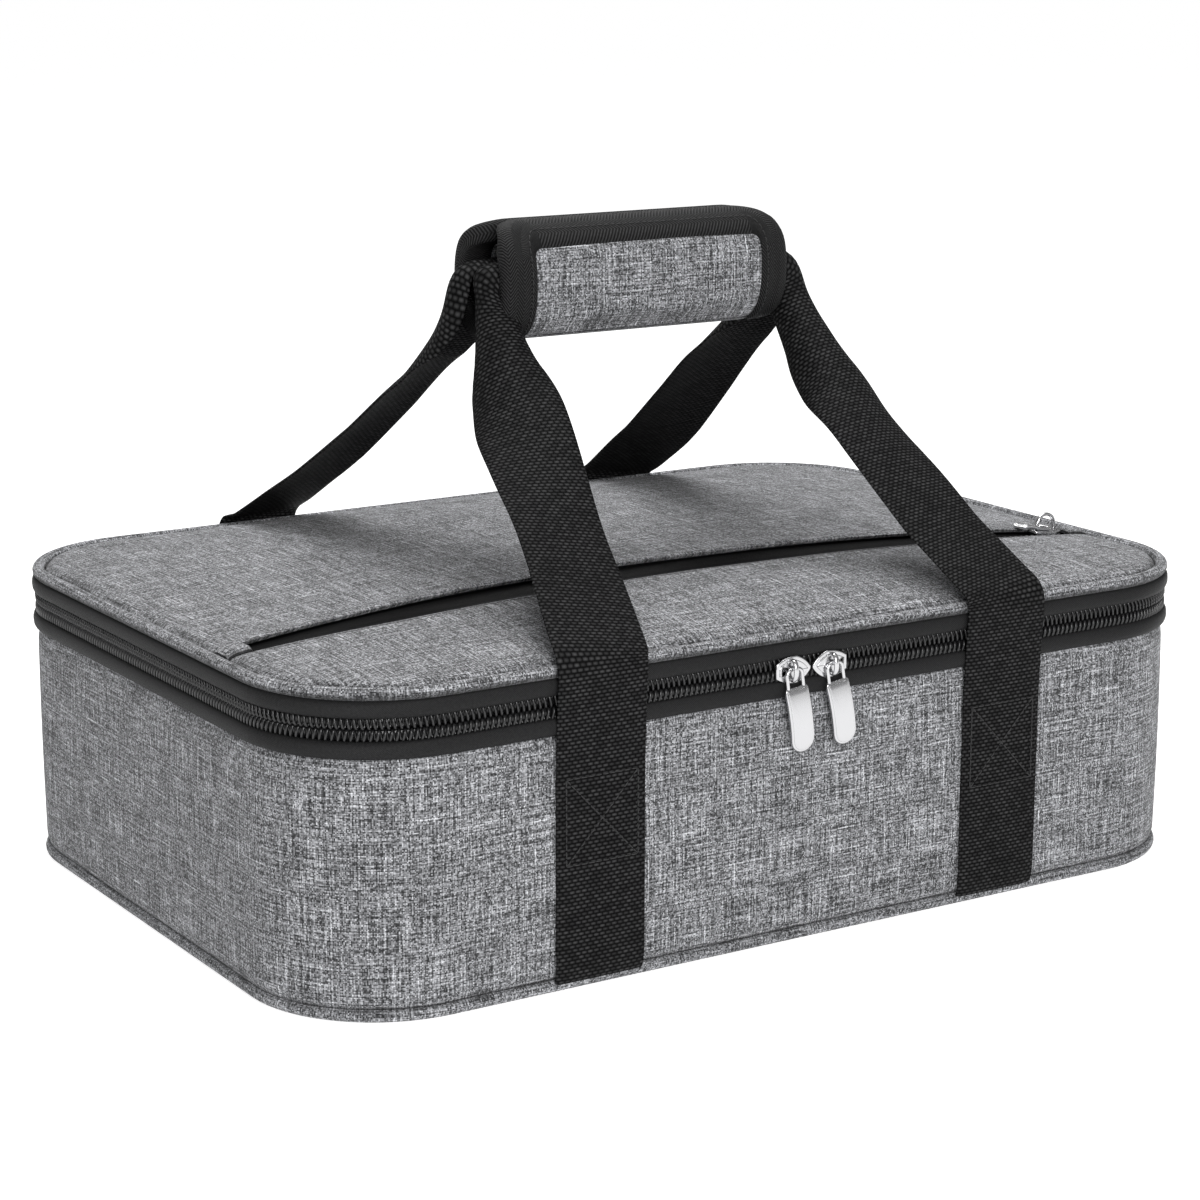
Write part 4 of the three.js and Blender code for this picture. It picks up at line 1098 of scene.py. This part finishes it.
def strap_section(columns):
    """Loop of (share across, height): the outer face, a round edge, the inner face, a round edge."""
    q = np.linspace(-1, 1, columns)
    face = 0.5 * STRAP_THICK * (1 - 0.5 * np.abs(q) ** 12)
    rim = 1 + 0.3 / STRAP_HALF
    outer, inner = np.stack([q, face], 1), np.stack([q[::-1], -face[::-1]], 1)
    return np.concatenate([outer, [[rim, 0]], inner, [[-rim, 0]]])


# For each half of a handle: twist (radians), half-angle of the bend (radians) and shift (mm), at these heights (mm).
FOLD_HEIGHTS = np.array([92, 130, 150, 165, 190, 205, 220, 236])
FOLDS = {
    "front left": (
        [0, 0, 0.06, 0.1, -0.2, -0.53, -0.55, -1.0], [0.02, 0.02, 0.03, 0.03, 0.18, 0.66, 1.49, 2.6],
        [0, 0, 0.1, 0.1, 0.4, 0.5, 0.1, 1.4],
    ),
    "front right": (
        [0, 0, -0.02, -0.03, -0.13, 0.25, 0.29, 0.24], [0.02, 0.02, 0.06, 0.12, 0.5, 1.2, 2.0, 2.5],
        [0, 0, 0.1, 0.1, -1.1, -2.3, -1.3, -0.7],
    ),
    "back left": (
        [0, -0.09, -0.13, -0.19, -0.29, -0.33, -0.34, -0.3], [0.02, 0.05, 0.3, 0.35, 0.28, 0.25, 0.6, 2.4],
        [0, 9.5, 7.0, 5.5, 3.5, 2.7, 2.0, 1.3],
    ),
    "back right": (
        [0, -0.14, -0.2, -0.13, -0.02, 0.03, 0.07, 0.06], [0.02, 0.05, 0.3, 0.35, 0.28, 0.25, 0.6, 2.4],
        [0, -7.8, -5.6, -4.4, -2.8, -2.1, -1.5, -0.9],
    ),
}


def half_strap(route, sign, fold):
    """Half a handle, from its foot on the left to the middle of the grip. At each point the ribbon is an arc of
    half-angle bend across the strap; twist turns it about its length and shift moves it sideways, by height."""
    left = [(-x, sign * y, z) for x, y, z in WALL_ROUTE + route + into_grip(route[-1])]
    path, along = smooth_path(left, 15, 1.5)
    path[-1, 0] = 0
    inside = ease(path[:, 0], -73.5, -66)[:, None]
    level = np.pad(path[:, 2], len(BLUR) // 2, mode="edge")
    twist, bend, shift = (np.convolve(np.interp(level, FOLD_HEIGHTS, v), BLUR, "valid") for v in fold)
    path[:, 0] += shift * (1 - inside[:, 0])
    tangent = unit(np.gradient(path, axis=0))
    rise = np.stack([np.zeros(len(path)), tangent[:, 2], -tangent[:, 1]], 1) * sign
    rise /= np.maximum(np.linalg.norm(rise, axis=1, keepdims=True), 0.05)
    normal = rise * (1 - inside) + np.array([0, sign, 0]) * inside
    normal = unit(normal - tangent * np.sum(normal * tangent, axis=1, keepdims=True))
    wide = np.cross(tangent, normal)
    turn = (-sign * twist * (1 - inside[:, 0]))[:, None]
    face = normal * np.cos(turn) + wide * np.sin(turn)
    wide = wide * np.cos(turn) - normal * np.sin(turn)
    bend = bend[:, None] * (1 - inside) + GRIP_BEND * inside
    section = strap_section(19)
    radius = STRAP_HALF / bend
    angle = bend * section[None, :, 0]
    reach = radius + section[None, :, 1]
    rings = path[:, None] + wide[:, None] * (reach * np.sin(angle))[:, :, None]
    return rings + face[:, None] * (reach * np.cos(angle) - radius)[:, :, None], along, section


def handle_parts(route, sign, left_fold, right_fold):
    """A whole handle: two halves with folds of their own, the right one mirrored, that meet in the grip."""
    rings, along, section = half_strap(route, sign, left_fold)
    other, _, _ = half_strap(route, sign, right_fold)
    mirrored = other[-2::-1] * np.array([-1, 1, 1])
    total = np.concatenate([along, 2 * along[-1] - along[-2::-1]])
    around = np.append(section[:, 0] * STRAP_HALF, section[0, 0] * STRAP_HALF)
    return tube_parts(np.concatenate([rings, mirrored]), total, around, False)


# Points (metres) where a handle would bend, from the base below the end of its sewn length to its own body above it;
# the strap stays in place.
SEWN_FACE, BEND_FROM, BEND_TO = 0.1488, 0.084, 0.098
for side, route, sign in (("front", FRONT_ROUTE, -1), ("back", BACK_ROUTE, 1)):
    parts = handle_parts(route, sign, FOLDS[side + " left"], FOLDS[side + " right"])
    bend = ("base", side + "_handle", (0, sign * SEWN_FACE, BEND_FROM), (0, sign * SEWN_FACE, BEND_TO))
    nodes = [side + end for end in ("_handle_webbing", "_left_strap_anchor", "_right_strap_anchor")]
    dress(make_piece(side + "_handle_strap", *parts), WEBBING, "black_webbing", bend, *nodes)

# %% [markdown]
# ## Stitches
# The straps are held by a sewn box with a cross in it. A stitch is a short thread that dips at both ends, so each one
# is a small bowed wire, and a seam is a row of them.


# %% Stitches
STITCH_PITCH, STITCH = 3.0, 2.4
STITCH_T = np.linspace(0, 1, 5)
STITCH_BOW = np.sin(np.pi * STITCH_T)


def seam_parts(start, end, out):
    """Bowed wires along a straight line: height 0.35 sin(pi t) over the surface, which they enter at both ends."""
    start, end, out = (np.array(v, float) for v in (start, end, out))
    count = max(1, int(round(np.linalg.norm(end - start) / STITCH_PITCH)))
    way = (end - start) / np.linalg.norm(end - start)
    bow = np.outer((STITCH_T - 0.5) * STITCH, way), np.outer(0.35 * STITCH_BOW - 0.25, out)
    middles = [start + (end - start) * (k + 0.5) / count for k in range(count)]
    return [wire_parts(middle + bow[0] + bow[1], 0.3, 5) for middle in middles]


def box_cross(x, sign):
    """A sewn box with a cross, on the sewn part of one strap."""
    face = sign * (WALL_ROUTE[2][1] + STRAP_THICK / 2)
    low, high, half = 49.0, SEWN_TOP - 2.0, STRAP_HALF - 3.5
    corner = [(x - half, face, low), (x + half, face, low), (x + half, face, high), (x - half, face, high)]
    lines = [(0, 1), (1, 2), (2, 3), (3, 0), (0, 2), (1, 3)]
    return [part for a, b in lines for part in seam_parts(corner[a], corner[b], (0, sign, 0))]


stitches = [part for sign in (-1, 1) for x in (-STRAP_X, STRAP_X) for part in box_cross(x, sign)]
dress(make_piece("strap_stitches", *merged(*stitches)), THREAD, "black_webbing", "base")


# %% Lid stitches
def lid_stitch(x):
    """One stitch of the line that holds the front lip down, 5 mm in front of it."""
    run = x + (STITCH_T - 0.5) * STITCH
    y = front_lip(run) - 5.0
    return wire_parts(np.column_stack([run, y, lid_height(run, y) + 0.3 * STITCH_BOW - 0.1]), 0.22, 5)


lid_row = merged(*[lid_stitch(x) for x in np.arange(-186, 187, STITCH_PITCH)])
dress(make_piece("lid_stitches", *lid_row), GREY_THREAD, "grey_linen", "lid")

# %% [markdown]
# ## Grip
# The grip is a padded tube in two halves that wraps both handles: a shell behind and a flap in front, which closes over
# the shell with a hidden touch strip. Both are cut from linen and bound with herringbone tape. The tube's section is a
# squared ellipse, so a flat pattern can be laid on it by its length round the tube.

# %% Grip pattern
GRIP_FLAP, GRIP_SHELL = box_mm("grip_flap_binding"), box_mm("grip_shell_binding")
GRIP_LOW, GRIP_HIGH = np.minimum(GRIP_FLAP[0], GRIP_SHELL[0]), np.maximum(GRIP_FLAP[1], GRIP_SHELL[1])
GRIP_HALF, GRIP_MIDDLE = (GRIP_HIGH - GRIP_LOW) / 2, (GRIP_HIGH + GRIP_LOW) / 2
BOUND = GRIP_HIGH[0] - box_mm("grip_flap")[1][0] - 0.3
GRIP_ANGLE = np.radians(np.linspace(-100, 320, 421))
flat, tall = np.abs(np.cos(GRIP_ANGLE) / GRIP_HALF[1]), np.abs(np.sin(GRIP_ANGLE) / GRIP_HALF[2])
GRIP_RADIUS = (flat**2.5 + tall**2.5) ** -0.4
GRIP_YZ = np.stack([-GRIP_RADIUS * np.cos(GRIP_ANGLE), GRIP_RADIUS * np.sin(GRIP_ANGLE)], 1) + GRIP_MIDDLE[1:]
GRIP_ROUND = run_length(GRIP_YZ)
GRIP_ROUND -= np.interp(-70, np.degrees(GRIP_ANGLE), GRIP_ROUND)
slope = unit(np.gradient(GRIP_YZ, axis=0))
GRIP_NORMAL = np.stack([-slope[:, 1], slope[:, 0]], 1)


def round_at(degrees):
    """Length round the tube, from the fold under the front, at an angle."""
    return float(np.interp(degrees, np.degrees(GRIP_ANGLE), GRIP_ROUND))


def on_grip(x, a, h):
    """Pattern to space: x along the tube, a round it, h out of it; the tube draws in by 1 mm at its two ends."""
    h = h - 1.0 * ease(np.abs(x), GRIP_HALF[0] - 16, GRIP_HALF[0])
    place = [np.interp(a, GRIP_ROUND, GRIP_YZ[:, k]) + h * np.interp(a, GRIP_ROUND, GRIP_NORMAL[:, k]) for k in (0, 1)]
    return np.stack([x + 0 * a, *place], -1)


def grip_slab(x, a, high, low):
    """A slab laid on the pattern, between two heights out of the tube."""
    return sheet_parts(on_grip(x, a, high), on_grip(x, a, low), np.stack([x, a], 2))


FLAP_TOP, LAP, SHELL_END = round_at(96), round_at(58), round_at(290)
FLAP_BOUND, SHELL_TOP = FLAP_TOP - round_at(36), FLAP_TOP + 1.6
FLAP_ROUND, SHELL_ROUND = 16.0, 14.0
WALL_GRIP = 6.3


def flap_depth(a):
    """Thickness of the flap: full in front, and thin where it lies over the shell's lap."""
    return WALL_GRIP - 4.1 * ease(a, LAP - 4, LAP)


def shell_depth(a):
    """Thickness of the shell: the same all over."""
    return WALL_GRIP + 0 * a


print("grip pattern: %.0f mm long, flap %.0f mm, shell %.0f mm" % (2 * GRIP_HALF[0], FLAP_TOP, SHELL_END - FLAP_TOP))


# %% Binding
def bound_edge(top, bottom, radius, reach):
    """Pattern path up one end, round a corner of radius by reach, along the top edge and down the other end, with
    inward directions."""
    half, way = GRIP_HALF[0], 1 if top > bottom else -1
    turn = np.linspace(0, np.pi / 2, 17)
    side = np.linspace(bottom, top - way * reach, 24)[:-1]
    left = np.column_stack([np.full(len(side), -half), side])
    arc = np.column_stack([-half + radius * (1 - np.cos(turn)), top - way * reach * (1 - np.sin(turn))])
    edge = np.column_stack([np.linspace(-half + radius, half - radius, 40)[1:-1], np.full(38, top)])
    inward = np.concatenate([
        np.tile([1.0, 0.0], (len(side), 1)),
        np.column_stack([np.cos(turn), -way * np.sin(turn)]),
        np.tile([0.0, -way], (38, 1)),
    ])
    first = np.concatenate([left, arc])
    mirror = np.array([-1.0, 1.0])
    path = np.concatenate([first, edge, first[::-1] * mirror])
    aims = np.concatenate([inward, inward[: len(first)][::-1] * mirror])
    return path, aims


def binding_parts(top, bottom, radius, depth, wide):
    """Tape folded over an edge: its outer face swells by 0.9 mm, goes round the edge and back along the inside. It is
    BOUND wide at both ends and wide along the top."""
    path, aims = bound_edge(top, bottom, radius, max(radius, wide + 4))
    w = np.linspace(BOUND, 0, 12)
    swell = 0.25 + 0.9 * np.sqrt(np.clip(1 - (2 * w / BOUND - 1) ** 4, 0, 1))
    outer = [(a, s, 0) for a, s in zip(w, swell)]
    rim = [(-0.9, 0.1, 0.12), (-1.2, 0.0, 0.5), (-0.9, -0.1, 0.88)]
    inner = [(a, -0.7, 1) for a in np.linspace(0, BOUND, 6)]
    profile = np.array(outer + rim + inner)
    x = path[:, None, 0] + aims[:, None, 0] * profile[None, :, 0]
    a = path[:, None, 1] + aims[:, None, 1] * profile[None, :, 0] * np.where(profile[None, :, 0] > 0, wide / BOUND, 1)
    h = profile[None, :, 1] - profile[None, :, 2] * depth(a)
    return tube_parts(on_grip(x, a, h), run_length(path), np.arange(len(profile) + 1.0) * BOUND / 11, False)


flap_tape = make_piece("grip_flap_tape", *binding_parts(FLAP_TOP, 1.0, FLAP_ROUND, flap_depth, FLAP_BOUND))
dress(flap_tape, BINDING, "black_tape", "grip_flap", "grip_flap_binding")
shell_tape = binding_parts(SHELL_TOP, SHELL_END - 1.0, SHELL_ROUND, shell_depth, BOUND)
shell_tape = make_piece("grip_shell_tape", *shell_tape)
dress(shell_tape, BINDING, "black_tape", "back_handle", "grip_shell_binding")


# %% Binding stitches
def binding_stitches(top, bottom, radius, wide):
    """Stitches along the binding, 2.4 mm from its inner edge at both ends and a third of its width along the top."""
    path, aims = bound_edge(top, bottom, radius, max(radius, wide + 4))
    row = path + aims * np.array([BOUND - 2.4, 0.66 * wide])
    along = run_length(row)
    parts = []
    for middle in np.arange(2.0, along[-1] - 1.0, STITCH_PITCH):
        place = [np.interp(middle + (STITCH_T - 0.5) * 2.2, along, row[:, k]) for k in (0, 1)]
        parts.append(wire_parts(on_grip(*place, 1.0 + 0.3 * STITCH_BOW), 0.25, 5))
    return merged(*parts)


row = make_piece("grip_flap_stitches", *binding_stitches(FLAP_TOP, 4.0, FLAP_ROUND, FLAP_BOUND))
dress(row, THREAD, "black_tape", "grip_flap")
row = make_piece("grip_shell_stitches", *binding_stitches(SHELL_TOP, SHELL_END - 4.0, SHELL_ROUND, BOUND))
dress(row, THREAD, "black_tape", "back_handle")

# %% [markdown]
# ## Padding
# Both halves of the grip are filled with wadding. A formula could give all of their roundness, but it swells the same
# everywhere. So the formula gives a part of it, and the cloth is then blown up by air pressure, held at its border by
# the binding. This happens on the panel's own grid, so that its pattern coordinates stay valid.

# %% Padding
PAD_HALF = GRIP_HALF[0] - BOUND + 2
PAD_ROWS, PAD_COLUMNS = 70, 40
PAD_SWELL, PAD_CAP, PAD_FRAMES = 0.7, 1.5, 20


def pad_parts(a_from, a_to, depth):
    """A padded panel of the pattern: it swells by PAD_SWELL in the middle and falls away towards its edges."""
    x, a = lattice(np.linspace(-PAD_HALF, PAD_HALF, PAD_ROWS), eased(a_from, a_to, PAD_COLUMNS))
    t = (a - a_from) / (a_to - a_from)
    swell = (1 - np.abs(x / PAD_HALF) ** 8) * (1 - np.abs(2 * t - 1) ** 10)
    wrinkle = 0.16 * np.sin(x / 5.3 + np.sin(a / 7)) * np.sin(np.pi * t) * np.abs(x / PAD_HALF) ** 3
    return grip_slab(x, a, PAD_SWELL * swell - 0.2 + wrinkle, -depth(a))


# %% Blown-up cloth
def puff(piece):
    """Lets the outer face of a padded panel swell as cloth: pressure without gravity for PAD_FRAMES frames. Its border
    and everything under it are held, and a tanh keeps every point within PAD_CAP millimetres of its start."""
    mesh = piece.data
    grid = np.arange(PAD_ROWS * PAD_COLUMNS).reshape(PAD_ROWS, PAD_COLUMNS)
    held = np.setdiff1d(np.arange(len(mesh.vertices)), grid[2:-2, 2:-2])
    piece.vertex_groups.new(name="held").add(held.tolist(), 1.0, "REPLACE")
    cloth = piece.modifiers.new("cloth", "CLOTH")
    cloth.point_cache.frame_start, cloth.point_cache.frame_end = 1, PAD_FRAMES
    settings = cloth.settings
    settings.vertex_group_mass = "held"
    settings.mass, settings.quality = 0.002, 6
    settings.tension_stiffness = settings.compression_stiffness = 8
    settings.shear_stiffness, settings.bending_stiffness = 4, 0.1
    settings.use_pressure, settings.uniform_pressure_force = True, 4
    settings.effector_weights.gravity = 0
    for step in range(1, PAD_FRAMES + 1):
        scene.frame_set(step)
    blown = piece.evaluated_get(bpy.context.evaluated_depsgraph_get()).data
    before, after = (np.array([v.co[:] for v in m.vertices]) for m in (mesh, blown))
    move = after - before
    length = np.linalg.norm(move, axis=1, keepdims=True)
    move *= PAD_CAP / 1000 * np.tanh(1000 * length / PAD_CAP) / np.maximum(length, 1e-9)
    piece.modifiers.remove(cloth)
    piece.vertex_groups.clear()
    mesh.vertices.foreach_set("co", (before + move).astype(np.float32).ravel())
    mesh.update()
    scene.frame_set(1)
    most, mean = 1000 * length.max(), 1000 * length.mean()
    print("%s: cloth moved %.2f mm at most, %.2f mm on average" % (piece.name, most, mean))


# %% Padded panels
flap_pad = make_piece("grip_flap_pad", *pad_parts(3.0, FLAP_TOP - FLAP_BOUND + 2, flap_depth))
puff(flap_pad)
dress(flap_pad, LINEN, "grey_linen", "grip_flap", "grip_flap")
shell_pad = pad_parts(SHELL_TOP + BOUND - 2, SHELL_END - 3.0, shell_depth)
x, a = lattice(np.linspace(-PAD_HALF, PAD_HALF, 50), np.linspace(LAP + 1, FLAP_TOP + 6, 12))
shell_piece = make_piece("grip_shell_pad", *merged(shell_pad, grip_slab(x, a, -4.9, -WALL_GRIP)))
puff(shell_piece)
dress(shell_piece, LINEN, "grey_linen", "back_handle", "grip_shell")

# %% Fold and touch strips
FOLD_HALF = 3.4
x, a = lattice(np.linspace(-GRIP_HALF[0] + 1, GRIP_HALF[0] - 1, 60), np.linspace(-FOLD_HALF, FOLD_HALF, 16))
start, end = (tuple(on_grip(0.0, v, 0.0) / 1000) for v in (-FOLD_HALF, FOLD_HALF))
fold = make_piece("grip_fold", *grip_slab(x, a, 0.3, -WALL_GRIP))
dress(fold, LINEN, "grey_linen", ("back_handle", "grip_flap", start, end))
x, a = lattice(np.linspace(-48, 48, 40), np.linspace(LAP + 2, FLAP_TOP - 2, 8))
for node, h, body in (("loop_strip", -4.2, "back_handle"), ("hook_strip", -2.9, "grip_flap")):
    dress(make_piece(node + "_face", *grip_slab(x, a, h, h - 0.7)), TAPE, "black_tape", body, node)

# %% [markdown]
# ## Studio
# The photograph was taken on white, from the front left and a little above, with large soft lights. The camera looks
# down by 13 degrees through a long lens, which keeps the box's edges nearly upright.

# %% Studio
def grey_stage(name, corners, color, glow):
    """A plain plate for the floor, which isn't part of the object; it glows a little, as a light table does."""
    mesh = bpy.data.meshes.new(name)
    mesh.from_pydata(corners, [], [list(range(len(corners)))])
    plate = bpy.data.objects.new(name, mesh)
    scene.collection.objects.link(plate)
    material, _, shader = plain_material(name, color, 0.9)
    shader.inputs["Emission Color"].default_value = (1, 1, 1, 1)
    shader.inputs["Emission Strength"].default_value = glow
    plate.data.materials.append(material)


grey_stage("floor", [(-30, -30, 0), (30, -30, 0), (30, 30, 0), (-30, 30, 0)], (0.45, 0.45, 0.45), 0.84)


def soft_light(name, place, aim, size, power):
    """A square soft box of a size in metres, turned to face a point."""
    data = bpy.data.lights.new(name, "AREA")
    data.shape = "SQUARE"
    data.size = size
    data.energy = power
    lamp = bpy.data.objects.new(name, data)
    scene.collection.objects.link(lamp)
    lamp.location = place
    direction = np.array(aim, float) - np.array(place, float)
    lamp.rotation_euler = (
        math.atan2(math.hypot(direction[0], direction[1]), -direction[2]),
        0,
        math.atan2(direction[1], direction[0]) - math.pi / 2,
    )


soft_light("top light", (0.2, 0.3, 1.7), (0, 0, 0.1), size=1.2, power=29)
soft_light("front light", (-0.65, -1.95, 0.9), (0, 0, 0.08), size=1.0, power=36)
soft_light("back light", (0.9, 1.9, 1.3), (0, 0, 0.1), size=1.0, power=8)
world = bpy.data.worlds.new("studio")
world.use_nodes = True
world.node_tree.nodes["Background"].inputs["Color"].default_value = (1, 1, 1, 1)
world.node_tree.nodes["Background"].inputs["Strength"].default_value = 0.32
scene.world = world
scene.view_settings.view_transform = "Standard"

# %% Camera
LENS, LOOK_DOWN, LOOK_RIGHT = 89.84, 13.17, 32.2
camera = bpy.data.objects.new("camera", bpy.data.cameras.new("camera"))
scene.collection.objects.link(camera)
camera.data.sensor_width = 36
camera.data.lens = LENS
camera.data.clip_start = 0.05
camera.location = (-0.6541, -1.0373, 0.3928)
camera.rotation_euler = (math.radians(90 - LOOK_DOWN), 0, math.radians(-LOOK_RIGHT))
scene.camera = camera
